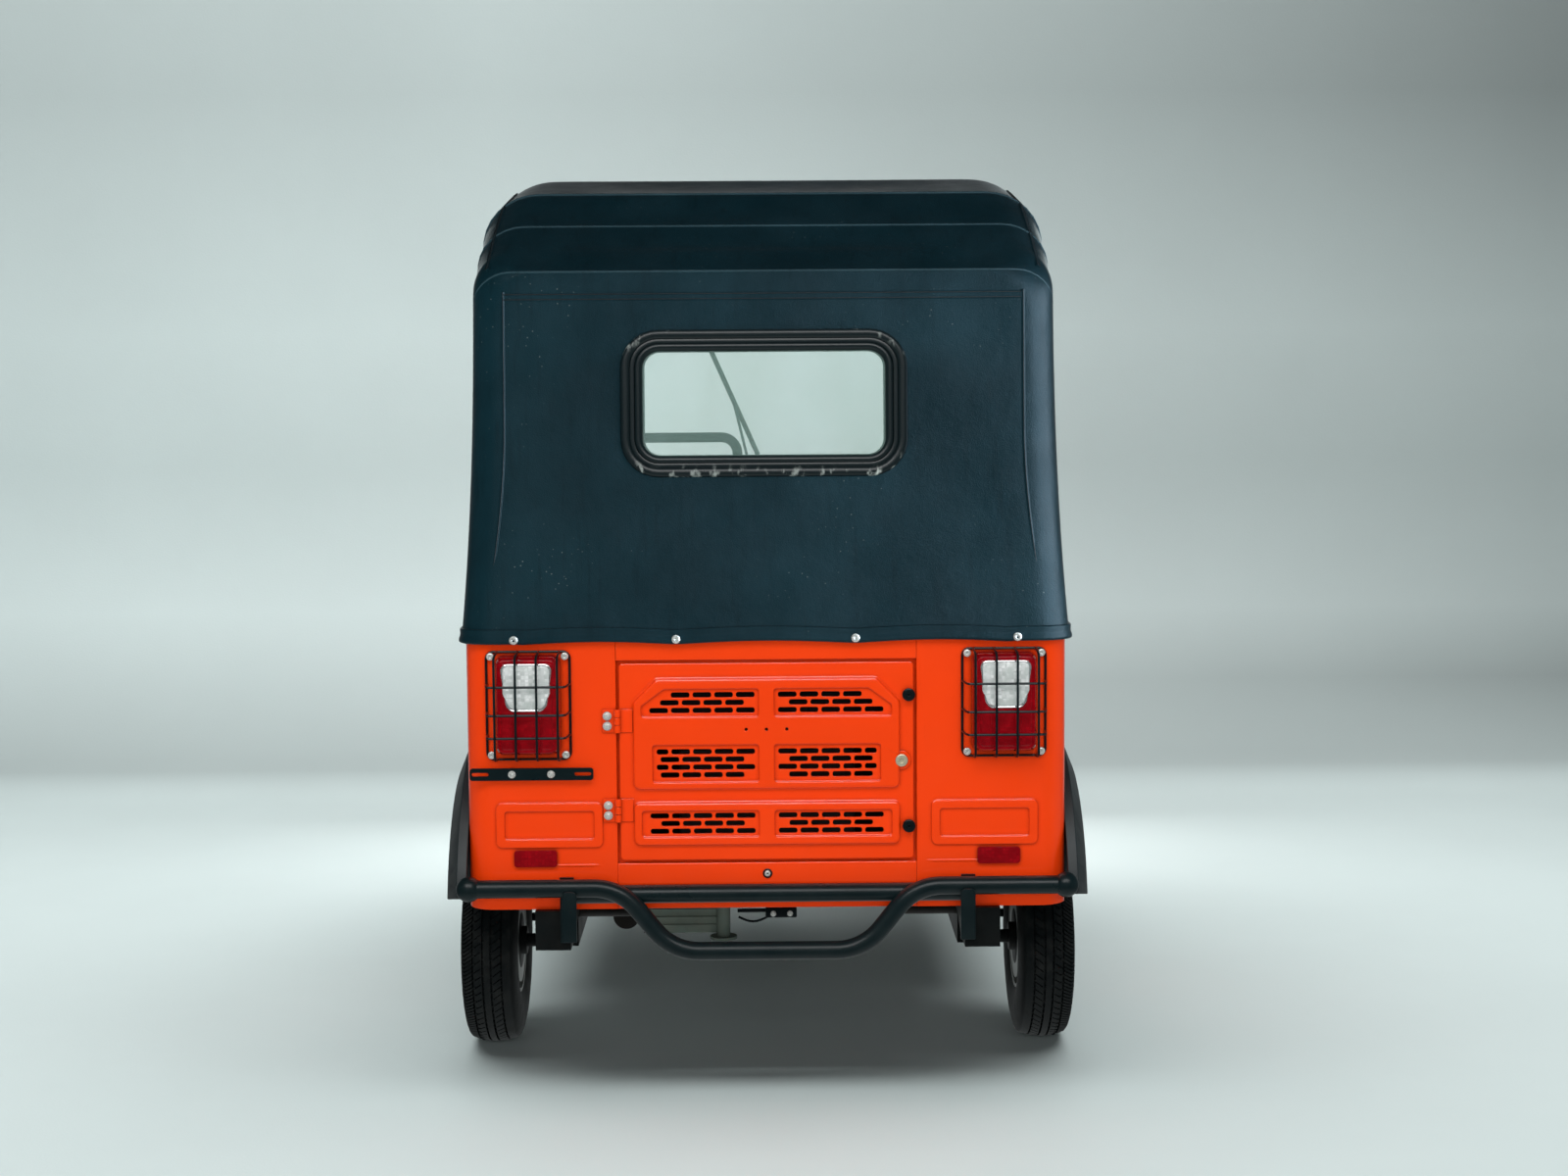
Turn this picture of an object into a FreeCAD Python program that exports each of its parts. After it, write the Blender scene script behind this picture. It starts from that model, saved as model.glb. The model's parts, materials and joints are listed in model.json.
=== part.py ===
import FreeCAD, Part
import math
import os

V = FreeCAD.Vector

# Driving dimensions, in millimetres. Front faces -Y, rear +Y, left side +X, up +Z.
# The origin lies on the ground under the middle of the vehicle.
front_overhang = 275.0
wheelbase = 1990.0
rear_overhang = 395.0
overall_height = 1810.0
tyre_radius = 210.0
tyre_width = 116.0
body_half_width = 595.0
wheel_inset = 20.0
body_top_z = 905.0
body_bottom_z = 349.0
floor_thick = 10.0
bench_floor_gap = 2.0
panel_thick = 6.0
body_corner_radius = 55.0
seat_gap = 0.3
hinge_play = 0.05
move_gap = 6.0
cut_over = 40.0

overall_length = front_overhang + wheelbase + rear_overhang
rear_tip_y = overall_length / 2
front_axle_y = front_overhang - overall_length / 2
rear_axle_y = front_axle_y + wheelbase
rear_track = 2 * (body_half_width - wheel_inset)
partition_setback = 995.0
partition_y = front_axle_y + partition_setback
bench_setback = 375.0
bench_front_y = rear_axle_y - bench_setback
bumper_reach = 65.0
rear_plane_y = rear_tip_y - bumper_reach
floor_top_z = body_bottom_z + floor_thick

# Engine access door and its surround
door_gap = 6.0
corner_panel_width = 299.0
door_open_half = body_half_width - corner_panel_width
door_open_low_z = 440.0
door_open_high_z = 844.0
door_corner_radius = 8.0
rebate_depth = 10.0
rebate_width = 24.0
rebate_thick = 6.0
emboss_rise = 9.0
emboss_corner = 12.0
panel_margin = 34.0
upper_panel_half = door_open_half - panel_margin
upper_panel_low_z = 589.0
upper_panel_high_z = 807.0
upper_panel_chamfer = 46.0
lower_panel_half = upper_panel_half
lower_panel_low_z = 477.0
lower_panel_high_z = 561.0
recess_depth = 6.0
recess_inner_x = 15.0
recess_rows = [
    # row, gap from the door opening's side, low z, high z
    ("upper", 49.0, 732.0, 788.0),
    ("middle", 71.0, 602.0, 677.0),
    ("lower", 49.0, 493.0, 546.0),
]
short_end_rows = ["middle"]
slot_length = 36.7
slot_height = 9.3
slot_pitch = 42.7
slot_row_pitch = 15.4
slot_margin = 8.0
slot_edge_gap = 2.5
recess_corner_share = 0.4
slot_taper_share = 0.1
badge_hole_radius = 3.0
badge_hole_pitch = 40.0
badge_hole_z = 707.0

# Hinges, lock and buffers of the door
hinge_axis_inset = 2.5
hinge_axis_x = door_open_half - hinge_axis_inset
hinge_barrel_radius = 6.0
hinge_pin_radius = 2.5
hinge_barrel_length = 46.0
hinge_leaf_thick = 3.0
hinge_leaf_reach = 30.0
hinge_heights = [725.0, 547.0]
knuckle_gap = 0.3
hinge_axis_y = rear_plane_y + hinge_barrel_radius + seat_gap
lock_inset = 30.0
lock_x = lock_inset - door_open_half
lock_z = 643.0
lock_radius = 10.0
lock_rise = 5.0
buffer_inset = 16.0
buffer_x = buffer_inset - door_open_half
buffer_heights = [774.0, 513.0]
buffer_radius = 11.0
buffer_rise = 12.0

# Wheel arches, housings and flares
arch_center_z = 290.0
arch_radius = 290.0
flare_band = 70.0
flare_out = 46.0
flare_reach = body_half_width + flare_out
flare_wall = 6.0
flare_step = 20.0
flare_rear_angle = 14.0
flare_front_angle = 172.0
housing_inset = 131.0
housing_inner_x = rear_track / 2 - housing_inset
housing_thick = 5.0
quarter_front_reach = 130.0
quarter_front_y = bench_front_y - quarter_front_reach
quarter_shoulder_y = bench_front_y
quarter_shoulder_z = 640.0
quarter_low_z = 300.0

# Corner embosses, reflectors, plate bracket, lamps and guards
corner_emboss_inset = 165.0
corner_emboss_x = body_half_width - corner_emboss_inset
corner_emboss_z = 518.0
corner_emboss_size = (210.0, 89.0)
corner_emboss_inner = (177.0, 56.0)
corner_emboss_rise = 5.0
reflector_inset = 137.0
reflector_x = body_half_width - reflector_inset
reflector_z = 452.0
reflector_size = (85.0, 33.0)
reflector_thick = 8.0
lamp_inset = 127.0
lamp_x = body_half_width - lamp_inset
lamp_z = 759.0
lamp_size = (129.0, 198.0)
lamp_depth = 42.0
lamp_corner = 14.0
lamp_draft = 8.0
guard_size = (169.0, 218.0)
guard_z = 757.0
guard_depth = 62.0
guard_wire = 5.0
guard_upright_shares = [-0.38, -0.13, 0.12, 0.37]
guard_bar_shares = [-0.27, -0.06, 0.20]
plate_bar_inset = 132.0
plate_bar_x = body_half_width - plate_bar_inset
plate_bar_z = 622.0
plate_bar_length = 243.0
plate_bar_height = 24.5
plate_bar_thick = 4.0
plate_bar_standoff = 10.0
plate_bolt_pitch = 77.0
plate_boss_radius = 8.0
plate_slot_pitch = 202.0
plate_slot_length = 33.0
plate_slot_width = 7.0

# Bumper
bumper_tube_radius = 18.0
bumper_z = 399.0
bumper_ball_radius = 25.0
bumper_end_inset = 8.0
bumper_half = body_half_width - bumper_end_inset
hoop_low_z = 272.0
hoop_low_half = 188.0
hoop_high_half = 290.0
hoop_bend = 110.0
brace_tube_z = 383.0
rail_inset = 170.0
rail_x = body_half_width - rail_inset
brace_end_inset = 42.0
brace_tube_half = rail_x - brace_end_inset
brace_tube_inset = 20.0
bumper_plate_inset = 29.0
bumper_plate_x = rail_x - bumper_plate_inset
bumper_plate_width = 28.0
bumper_plate_thick = 6.0
bumper_plate_low_z = 286.0
bumper_y = rear_tip_y - bumper_ball_radius

# Soft top
hood_thick = 8.0
hood_hem_z = 882.0
hood_wall_lean = 0.066
hood_side_lean = 0.046
hood_corner = body_corner_radius + seat_gap + hood_thick
hood_corner_steps = 4
# Hoops from the rear forwards: place along Y, height, half width and corner radius
rear_hoop_drop = 205.0
rear_hoop_z = overall_height - rear_hoop_drop
ridge_back = rear_plane_y + seat_gap + hood_thick - (rear_hoop_z - body_top_z) * hood_wall_lean
hoop_setbacks = [0.0, 140.0, 240.0, 425.0]
hoop_drops = [rear_hoop_drop, 108.0, 45.0, 0.0]
hoop_corners = [78.0, 94.0, 114.0, 130.0]
hoop_half = body_half_width - wheel_inset
bay_hoop_reach = 60.0
middle_hoop_drop = 12.0
middle_hoop_inset = 7.0
header_setback = 225.0
header_drop = 99.0
header_inset = 22.0
header_corner = 90.0
header_z = overall_height - header_drop
ridge_steps = [
    (ridge_back - setback, overall_height - drop, hoop_half, corner)
    for setback, drop, corner in zip(hoop_setbacks, hoop_drops, hoop_corners)
]
ridge_steps += [
    (bench_front_y - bay_hoop_reach, overall_height, hoop_half, hoop_corners[-1]),
    (partition_y, overall_height - middle_hoop_drop, hoop_half - middle_hoop_inset, hoop_corners[-1]),
    (front_axle_y + header_setback, header_z, hoop_half - header_inset, header_corner),
]
hood_base_half = body_half_width + seat_gap + hood_thick
side_open_drop = 270.0
side_open_top_z = overall_height - side_open_drop
side_open_rear_y = bench_front_y
side_open_lean = 90.0
side_open_bend = 120.0

# Rear window
window_height_share = 0.6314
window_z = body_top_z + (rear_hoop_z - body_top_z) * window_height_share
window_glass = (500.0, 235.0)
window_glass_corner = 40.0
window_seal = (562.0, 287.0)
window_seal_corner = 72.0
window_sight = (482.0, 217.0)
window_sight_corner = 36.0
window_web = 13.0
glass_thick = 5.0
seal_rise = 9.0

# Tube frame under the soft top
frame_tube_radius = 12.5
frame_hoop_inset = 1.3
side_rail_drop = 235.0
side_rail_z = overall_height - side_rail_drop
rear_post_inset = 85.0
post_bend = 55.0
rear_post_y = rear_plane_y - rear_post_inset
quarter_post_back = 40.0
quarter_post_y = bench_front_y + quarter_post_back

# Windscreen
screen_setback = 55.0
screen_low_y = front_axle_y + screen_setback
screen_low_z = 985.0
screen_rake = 16.4
screen_head_gap = 11.3
screen_height = (header_z - screen_head_gap - screen_low_z) / math.cos(math.radians(screen_rake))
screen_side_inset = 55.0
screen_width = 2 * (body_half_width - screen_side_inset)
screen_corner = 70.0
screen_bar = 42.0
screen_depth = 30.0
screen_lip = 10.0
wiper_blade_low_x = 20.0
wiper_blade_high_x = 156.0
wiper_blade_low_share = 0.28
wiper_blade_high_share = 0.72
wiper_pivot_x = 10.0
wiper_bar = 8.0

# Front cowl: plan sections from the bottom up
cowl_depth = 265.0
cowl_rear_y = front_axle_y + cowl_depth
cowl_thick = 6.0
cowl_low_z = 330.0
cowl_waist_z = 545.0
cowl_nose_z = 700.0
cowl_shoulder_z = 850.0
cowl_sections = [
    # height, inset from the body's side, reach ahead of the front axle
    (cowl_low_z, 90.0, 10.0),
    (cowl_waist_z, 70.0, 112.0),
    (cowl_nose_z, 57.0, 145.0),
    (cowl_shoulder_z, 54.0, 120.0),
    (screen_low_z, 54.0, 25.0),
]
cowl_corner_width = 210.0
cowl_corner_depth = 125.0
cowl_corner_round = 150.0
cowl_front_round = 320.0
cowl_arch_half = 290.0
cowl_arch_top_z = 545.0
cowl_arch_corner = 55.0
headlamp_inset = 295.0
headlamp_x = body_half_width - headlamp_inset
headlamp_z = 690.0
headlamp_radius = 78.0
headlamp_bezel = 10.0
headlamp_reach = 190.0
headlamp_dome = 16.0
lamp_root = 60.0
indicator_inset = 200.0
indicator_x = body_half_width - indicator_inset
indicator_z = 850.0
indicator_radius = 32.0
indicator_reach = 128.0
indicator_dome = 10.0
dash_low_z = 880.0
dash_high_z = 950.0
dash_setback = 255.0
dash_rear_y = front_axle_y + dash_setback
dash_front_reach = 115.0
dash_front_y = front_axle_y + dash_front_reach
dash_thick = 8.0

# Floor, sills, chassis
rail_width = 70.0
rail_height = 49.0
rail_front_setback = 355.0
rail_front_y = front_axle_y + rail_front_setback
horn_length = 180.0
horn_low_z = 270.0
cross_member_width = 60.0
cross_member_step = 40.0
rear_cross_back = 145.0
rear_cross_height = 27.0
cross_members_y = [
    rail_front_y + cross_member_step,
    partition_y - cross_member_width / 2,
    bench_front_y,
    rear_axle_y + rear_cross_back,
]
floor_half_width = body_half_width - panel_thick - seat_gap
floor_front_reach = 60.0
floor_front_y = rail_front_y - floor_front_reach
floor_rear_y = bench_front_y - panel_thick - bench_floor_gap
sill_drop = 49.0
sill_width = 35.0
floor_rib_height = 5.0
floor_rib_width = 30.0
floor_rib_pitch = 110.0
floor_rib_count = 4
toe_top_z = 690.0
toe_lean = 70.0
neck_half_width = 45.0

# Steering
head_angle = 20.0
trail = 50.0
head_tube_radius = 32.0
head_low_z = 505.0
head_high_z = 690.0
column_radius = 20.0
column_top_z = 1010.0
fork_side_x = 102.0
fork_tube_radius = 18.0
fork_bend = 45.0
fork_low_z = 215.0
fork_pivot_back = 150.0
link_thick = 20.0
link_height = 40.0
axle_radius = 10.0
mudguard_gap = 35.0
mudguard_wall = 5.0
mudguard_half_width = 74.0
mudguard_shift_y = 12.0
mudguard_shift_z = 14.0
mudguard_front_angle = 172.0
mudguard_rear_angle = 35.0
handlebar_half = 310.0
handlebar_radius = 11.0
handlebar_rise = 25.0
handlebar_sweep = 50.0
handlebar_clamp_half = 90.0
handlebar_bend = 60.0
grip_length = 120.0
grip_radius = 17.0
grip_end = 3.0

# Wheels
rim_radius = 105.0
rim_half_width = 50.0
rim_thick = 4.0
bead_inset = 8.0
hub_radius = 42.0
hub_half_width = 40.0
drum_radius = 88.0
drum_width = 46.0
tyre_shoulder_share = 0.80
tread_crown = 6.0
spindle_radius = 14.0

# Rear suspension and drive
arm_inset = 139.0
arm_center_x = rear_track / 2 - arm_inset
arm_width = 72.0
arm_low_z = 205.0
arm_high_z = 285.0
arm_pivot_ahead = 345.0
arm_pivot_y = rear_axle_y - arm_pivot_ahead
arm_pivot_radius = 30.0
arm_tail = 40.0
arm_tail_y = rear_axle_y + arm_tail
shock_inset = 87.0
shock_x = rear_track / 2 - shock_inset
shock_ahead = 65.0
shock_y = rear_axle_y - shock_ahead
shock_top_z = 560.0
shock_radius = 20.0
shock_core_radius = 9.0
shock_spring_inset = 45.0
shaft_radius = 13.0
engine_half_width = 180.0
engine_ahead = 335.0
engine_front_y = rear_axle_y - engine_ahead
engine_length = 495.0
engine_rear_y = engine_front_y + engine_length
engine_top_z = 640.0
casting_low_x = 92.0
silencer_inset = 272.0
silencer_x = rear_track / 2 - silencer_inset
casting_gap = 45.0
casting_high_x = silencer_x - casting_gap
casting_low_z = 250.0
casting_length = 240.0
casting_fin_count = 5
casting_fin_height = 4.0
post_x = casting_low_x
post_radius = 14.0
post_foot_radius = 28.0
post_low_z = 240.0
silencer_z = 252.0
silencer_radius = 28.0
silencer_length = 265.0
silencer_ahead = 295.0
silencer_front_y = rear_axle_y - silencer_ahead
silencer_rear_y = silencer_front_y + silencer_length

# Seats and partition
deck_z = 690.0
deck_back = 165.0
deck_rear_y = rear_axle_y + deck_back
shelf_z = 872.0
shelf_lean = 30.0
seat_sheet = 8.0
cushion_inset = 35.0
cushion_half_width = body_half_width - cushion_inset
cushion_height = 105.0
cushion_front_over = 25.0
backrest_thick = 105.0
backrest_top_z = 1225.0
backrest_lean = 60.0
cushion_round = 25.0
driver_seat_half = 215.0
driver_seat_gap = 50.0
driver_seat_rear_y = partition_y - driver_seat_gap
driver_seat_length = 370.0
driver_seat_front_y = driver_seat_rear_y - driver_seat_length
driver_seat_z = 640.0
driver_cushion_height = 90.0
driver_back_low_z = 790.0
driver_back_high_z = 1080.0
driver_back_thick = 55.0
partition_thick = 8.0
partition_top_z = 900.0
partition_inset = 70.0
partition_half = body_half_width - partition_inset
rail_bar_drop = 554.0
rail_bar_z = overall_height - rail_bar_drop
rail_post_x = 68.0

# Mirrors
mirror_inset = 3.0
mirror_x = body_half_width - mirror_inset
mirror_z = 1200.0
mirror_size = (96.0, 140.0)
mirror_thick = 22.0
mirror_corner = 24.0
mirror_arm_radius = 6.0
mirror_foot_z = 1040.0


def box(x0, x1, y0, y1, z0, z1):
    return Part.makeBox(x1 - x0, y1 - y0, z1 - z0, V(x0, y0, z0))


def rod(start, end, radius):
    axis = end - start
    return Part.makeCylinder(radius, axis.Length, start, axis)


def both_sides(shape):
    """A shape and its mirror image across the middle of the vehicle."""
    return [shape, shape.mirror(V(0, 0, 0), V(1, 0, 0))]


def mirrored(shape):
    return shape.mirror(V(0, 0, 0), V(1, 0, 0))


def fused(shapes):
    first, rest = shapes[0], shapes[1:]
    return first.multiFuse(rest).removeSplitter() if rest else first


def rounded_wire(points, radii, closed=True):
    """Straight runs joined by tangent arcs; a radius of zero leaves a corner sharp."""
    count = len(points)
    edges = []
    starts, ends, mids = [], [], []
    for i, corner in enumerate(points):
        radius = radii[i]
        if radius <= 0 or (not closed and i in (0, count - 1)):
            starts.append(corner)
            ends.append(corner)
            mids.append(None)
            continue
        back = (points[i - 1] - corner).normalize()
        ahead = (points[(i + 1) % count] - corner).normalize()
        half = math.acos(max(-1.0, min(1.0, back.dot(ahead)))) / 2
        reach = radius / math.tan(half)
        bisector = (back + ahead).normalize()
        starts.append(corner + back * reach)
        ends.append(corner + ahead * reach)
        mids.append(corner + bisector * (radius / math.sin(half) - radius))
    for i in range(count):
        if mids[i] is not None:
            edges.append(Part.Arc(starts[i], mids[i], ends[i]).toShape())
        if i < count - 1 or closed:
            following = starts[(i + 1) % count]
            if (following - ends[i]).Length > 1e-6:
                edges.append(Part.LineSegment(ends[i], following).toShape())
    return Part.Wire(edges)


def prism_x(points, x0, x1, radii=None):
    """Outline of (y, z) points pushed from x0 to x1."""
    corners = [V(x0, y, z) for y, z in points]
    wire = rounded_wire(corners, radii or [0] * len(corners))
    return Part.Face(wire).extrude(V(x1 - x0, 0, 0))


def prism_y(points, y0, y1, radii=None):
    """Outline of (x, z) points pushed from y0 to y1."""
    corners = [V(x, y0, z) for x, z in points]
    wire = rounded_wire(corners, radii or [0] * len(corners))
    return Part.Face(wire).extrude(V(0, y1 - y0, 0))


def plate(center_x, center_z, width, height, corner, y0, y1):
    """Upright plate with rounded corners, facing along Y."""
    left, right = center_x - width / 2, center_x + width / 2
    low, high = center_z - height / 2, center_z + height / 2
    outline = [(left, low), (right, low), (right, high), (left, high)]
    return prism_y(outline, y0, y1, [corner] * 4)


def round_bar(points, radius, bend):
    """Bent round bar along a polyline: straight runs joined by elbows of one bend radius."""
    pieces = []
    run_start = points[0]
    for i in range(1, len(points) - 1):
        corner = points[i]
        back = (points[i - 1] - corner).normalize()
        ahead = (points[i + 1] - corner).normalize()
        half = math.acos(max(-1.0, min(1.0, back.dot(ahead)))) / 2
        reach = bend / math.tan(half)
        start, end = corner + back * reach, corner + ahead * reach
        center = corner + (back + ahead).normalize() * (bend / math.sin(half))
        pieces.append(rod(run_start, start, radius))
        ring = Part.Face(Part.Wire(Part.makeCircle(radius, start, back)))
        axis = ahead.cross(back)
        pieces.append(ring.revolve(center, axis, math.degrees(math.pi - 2 * half)))
        run_start = end
    pieces.append(rod(run_start, points[-1], radius))
    return fused(pieces)


def ring_about_x(profile, x_axis_y, x_axis_z, angle=360.0, start=0.0):
    """Outline of (radius, x) points spun about an axle that runs along X."""
    flat = [V(x, 0, r) for r, x in profile]
    wire = rounded_wire(flat, [0] * len(flat))
    solid = Part.Face(wire).revolve(V(0, 0, 0), V(1, 0, 0), angle)
    solid.rotate(V(0, 0, 0), V(1, 0, 0), start)
    solid.translate(V(0, x_axis_y, x_axis_z))
    return solid


# Wheels


def tyre(center_x, axle_y):
    half = tyre_width / 2
    shoulder = tyre_radius - (tyre_radius - rim_radius) * (1 - tyre_shoulder_share)
    bead = rim_half_width - bead_inset
    seat = rim_radius + seat_gap
    middle = (shoulder + seat) / 2
    profile = [
        (seat, -bead),
        (middle, -half),
        (shoulder, -half + bead_inset),
        (tyre_radius - tread_crown, -bead),
        (tyre_radius, 0),
        (tyre_radius - tread_crown, bead),
        (shoulder, half - bead_inset),
        (middle, half),
        (seat, bead),
    ]
    profile = [(r, x + center_x) for r, x in profile]
    return ring_about_x(profile, axle_y, tyre_radius)


def rim(center_x, axle_y, hub_bore, drum_side):
    """Pressed two-piece rim with its flat disc, hub and brake drum."""
    flange = rim_radius + bead_inset
    barrel = [
        (rim_radius - rim_thick, -rim_half_width),
        (flange, -rim_half_width),
        (flange, -rim_half_width + rim_thick),
        (rim_radius, -rim_half_width + rim_thick),
        (rim_radius, rim_half_width - rim_thick),
        (flange, rim_half_width - rim_thick),
        (flange, rim_half_width),
        (rim_radius - rim_thick, rim_half_width),
    ]
    disc = [
        (hub_bore, -rim_thick),
        (rim_radius - rim_thick / 2, -rim_thick),
        (rim_radius - rim_thick / 2, rim_thick),
        (hub_bore, rim_thick),
    ]
    hub = [
        (hub_bore, -hub_half_width),
        (hub_radius, -hub_half_width),
        (hub_radius, hub_half_width),
        (hub_bore, hub_half_width),
    ]
    drum_end = drum_side * (rim_thick + drum_width)
    drum = [
        (hub_bore, 0),
        (drum_radius, 0),
        (drum_radius, drum_end),
        (hub_bore, drum_end),
    ]
    rings = []
    for profile in (barrel, disc, hub, drum):
        moved = [(r, x + center_x) for r, x in profile]
        rings.append(ring_about_x(moved, axle_y, tyre_radius))
    return fused(rings)


# Steering


def steer_point(z):
    """Point of the steering axis at a height."""
    ground_y = front_axle_y - trail
    return V(0, ground_y + z * math.tan(math.radians(head_angle)), z)


def fork():
    stem = rod(steer_point(head_low_z - fork_bend), steer_point(column_top_z), column_radius - hinge_play)
    crown = steer_point(head_low_z - fork_bend)
    pivot = V(fork_side_x, front_axle_y + fork_pivot_back, fork_low_z)
    knee = V(fork_side_x, crown.y, crown.z - fork_bend)
    leg = round_bar([steer_point(head_low_z), crown, knee, pivot], fork_tube_radius, fork_bend)
    link = box(
        fork_side_x - link_thick / 2,
        fork_side_x + link_thick / 2,
        front_axle_y - link_height / 2,
        front_axle_y + fork_pivot_back + link_height / 2,
        tyre_radius - link_height / 2,
        tyre_radius + link_height / 2,
    )
    axle = rod(
        V(fork_side_x, front_axle_y, tyre_radius),
        V(-hub_half_width - link_thick, front_axle_y, tyre_radius),
        axle_radius,
    )
    return fused([stem, leg, link, axle])


def front_mudguard(fork_shape):
    inner = tyre_radius + mudguard_gap
    outer = inner + mudguard_wall
    half = mudguard_half_width
    profile = [
        (inner - mudguard_gap, -half),
        (outer, -half),
        (outer, half),
        (inner - mudguard_gap, half),
        (inner - mudguard_gap, half - mudguard_wall),
        (inner, half - mudguard_wall),
        (inner, -half + mudguard_wall),
        (inner - mudguard_gap, -half + mudguard_wall),
    ]
    center_y = front_axle_y - mudguard_shift_y
    center_z = tyre_radius + mudguard_shift_z
    span = mudguard_front_angle - mudguard_rear_angle
    shell = ring_about_x(profile, center_y, center_z, span, mudguard_rear_angle - 90)
    crown = steer_point(head_low_z - fork_bend)
    tab = box(
        half,
        fork_side_x,
        crown.y - fork_tube_radius / 2,
        crown.y + fork_tube_radius / 2,
        crown.z - fork_bend - fork_tube_radius,
        crown.z - fork_bend + fork_tube_radius / 2,
    )
    return shell.fuse(tab).cut(fork_shape)


def handlebar_path(side):
    grip_end = steer_point(column_top_z + handlebar_rise)
    middle = steer_point(column_top_z + handlebar_radius)
    return [
        middle,
        middle + V(side * handlebar_clamp_half, 0, 0),
        V(side * handlebar_half, grip_end.y + handlebar_sweep, grip_end.z),
    ]


def handlebar(fork_shape):
    """Two swept-back bars and the clamp that sits on the column."""
    bars = [
        round_bar(handlebar_path(side), handlebar_radius, handlebar_bend) for side in (1, -1)
    ]
    low = steer_point(column_top_z - 2 * handlebar_radius)
    high = steer_point(column_top_z + 2 * handlebar_radius)
    clamp = rod(low, high, column_radius + handlebar_radius / 2)
    return fused(bars + [clamp]).cut(fork_shape)


def grips():
    pieces = []
    for side in (1, -1):
        path = handlebar_path(side)
        along = (path[1] - path[2]).normalize()
        outer = rod(path[2] - along * grip_end, path[2] + along * grip_length, grip_radius)
        inner = rod(path[2], path[2] + along * (grip_length + cut_over), handlebar_radius + seat_gap)
        pieces.append(outer.cut(inner))
    return Part.makeCompound(pieces)


# Chassis and floor


def head_tube():
    low, high = steer_point(head_low_z), steer_point(head_high_z)
    return rod(low, high, head_tube_radius)


def chassis_frame():
    rails = []
    rail_high = body_bottom_z
    rail_low = rail_high - rail_height
    horn_rear = bumper_y - bumper_tube_radius - bumper_plate_thick
    for side in (1, -1):
        center = side * rail_x
        rails.append(
            box(
                center - rail_width / 2,
                center + rail_width / 2,
                rail_front_y,
                horn_rear,
                rail_low,
                rail_high,
            )
        )
        horn = [
            (horn_rear - horn_length, rail_low),
            (horn_rear - horn_length / 2, horn_low_z),
            (horn_rear, horn_low_z),
            (horn_rear, rail_low),
        ]
        rails.append(prism_x(horn, center - rail_width / 2, center + rail_width / 2))
        pivot_ear = [
            (arm_pivot_y - arm_pivot_radius, rail_low),
            (arm_pivot_y - arm_pivot_radius, arm_low_z + panel_thick),
            (arm_pivot_y + arm_pivot_radius, arm_low_z + panel_thick),
            (arm_pivot_y + arm_pivot_radius, rail_low),
        ]
        ear_x = side * (arm_center_x - arm_width / 2 - seat_gap)
        inner_x = side * (rail_x - rail_width / 2)
        low_x, high_x = min(ear_x, inner_x), max(ear_x, inner_x)
        rails.append(prism_x(pivot_ear, low_x, high_x))
    for y in cross_members_y:
        low = rail_high - rear_cross_height if y > rear_axle_y else rail_low
        rails.append(box(-rail_x, rail_x, y, y + cross_member_width, low, rail_high))
    neck = [
        (rail_front_y, rail_low),
        (rail_front_y, body_bottom_z + toe_lean),
        (steer_point(toe_top_z).y + 2 * toe_lean, toe_top_z - toe_lean / 2),
        (steer_point(head_high_z).y, head_high_z - head_tube_radius),
        (steer_point(head_low_z).y, head_low_z + head_tube_radius),
        (rail_front_y - toe_lean, rail_low),
    ]
    rails.append(prism_x(neck, -neck_half_width, neck_half_width))
    front_cross = box(
        -rail_x, rail_x, rail_front_y, rail_front_y + cross_member_width, rail_low, rail_high
    )
    rails += [front_cross, head_tube()]
    frame = fused(rails)
    bore = rod(steer_point(cowl_low_z), steer_point(column_top_z), column_radius)
    return frame.cut(bore)


def floor_pan(frame, cowl):
    low, high = body_bottom_z, floor_top_z
    pieces = [box(-floor_half_width, floor_half_width, floor_front_y, floor_rear_y, low, high)]
    for side in (1, -1):
        edge = side * body_half_width
        inner, outer = sorted((edge - side * sill_width, edge))
        pieces.append(box(inner, outer, floor_front_y, quarter_front_y - seat_gap, low - sill_drop, high))
    first = -floor_rib_pitch * (floor_rib_count - 1) / 2
    for i in range(floor_rib_count):
        x = first + i * floor_rib_pitch
        pieces.append(
            box(
                x - floor_rib_width / 2,
                x + floor_rib_width / 2,
                partition_y + partition_thick + cross_member_width,
                floor_rear_y - cross_member_width,
                high,
                high + floor_rib_height,
            )
        )
    toe = [
        (floor_front_y, low),
        (floor_front_y + floor_thick, low),
        (floor_front_y + floor_thick, high + toe_lean),
        (floor_front_y + floor_thick - toe_lean, toe_top_z),
        (floor_front_y - toe_lean, toe_top_z),
        (floor_front_y, high + toe_lean),
    ]
    toe_half = body_half_width - cowl_sections[1][1] - cowl_thick - seat_gap
    pieces.append(prism_x(toe, -toe_half, toe_half))
    room = rod(steer_point(cowl_low_z), steer_point(column_top_z), column_radius + move_gap)
    return fused(pieces).cut(frame).cut(cowl).cut(room)


def wheel_housing():
    """Inner arch over one rear wheel, open below the body."""
    outer = arch_radius + housing_thick
    wall = [
        (0, housing_inner_x),
        (outer, housing_inner_x),
        (outer, body_half_width - panel_thick - seat_gap),
        (arch_radius, body_half_width - panel_thick - seat_gap),
        (arch_radius, housing_inner_x + housing_thick),
        (0, housing_inner_x + housing_thick),
    ]
    shell = ring_about_x(wall, rear_axle_y, arch_center_z)
    below = box(
        0,
        overall_length,
        0,
        overall_length,
        -overall_height,
        body_bottom_z,
    )
    return shell.cut(below).common(body_plan(panel_thick + seat_gap))


# Rear body


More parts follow.
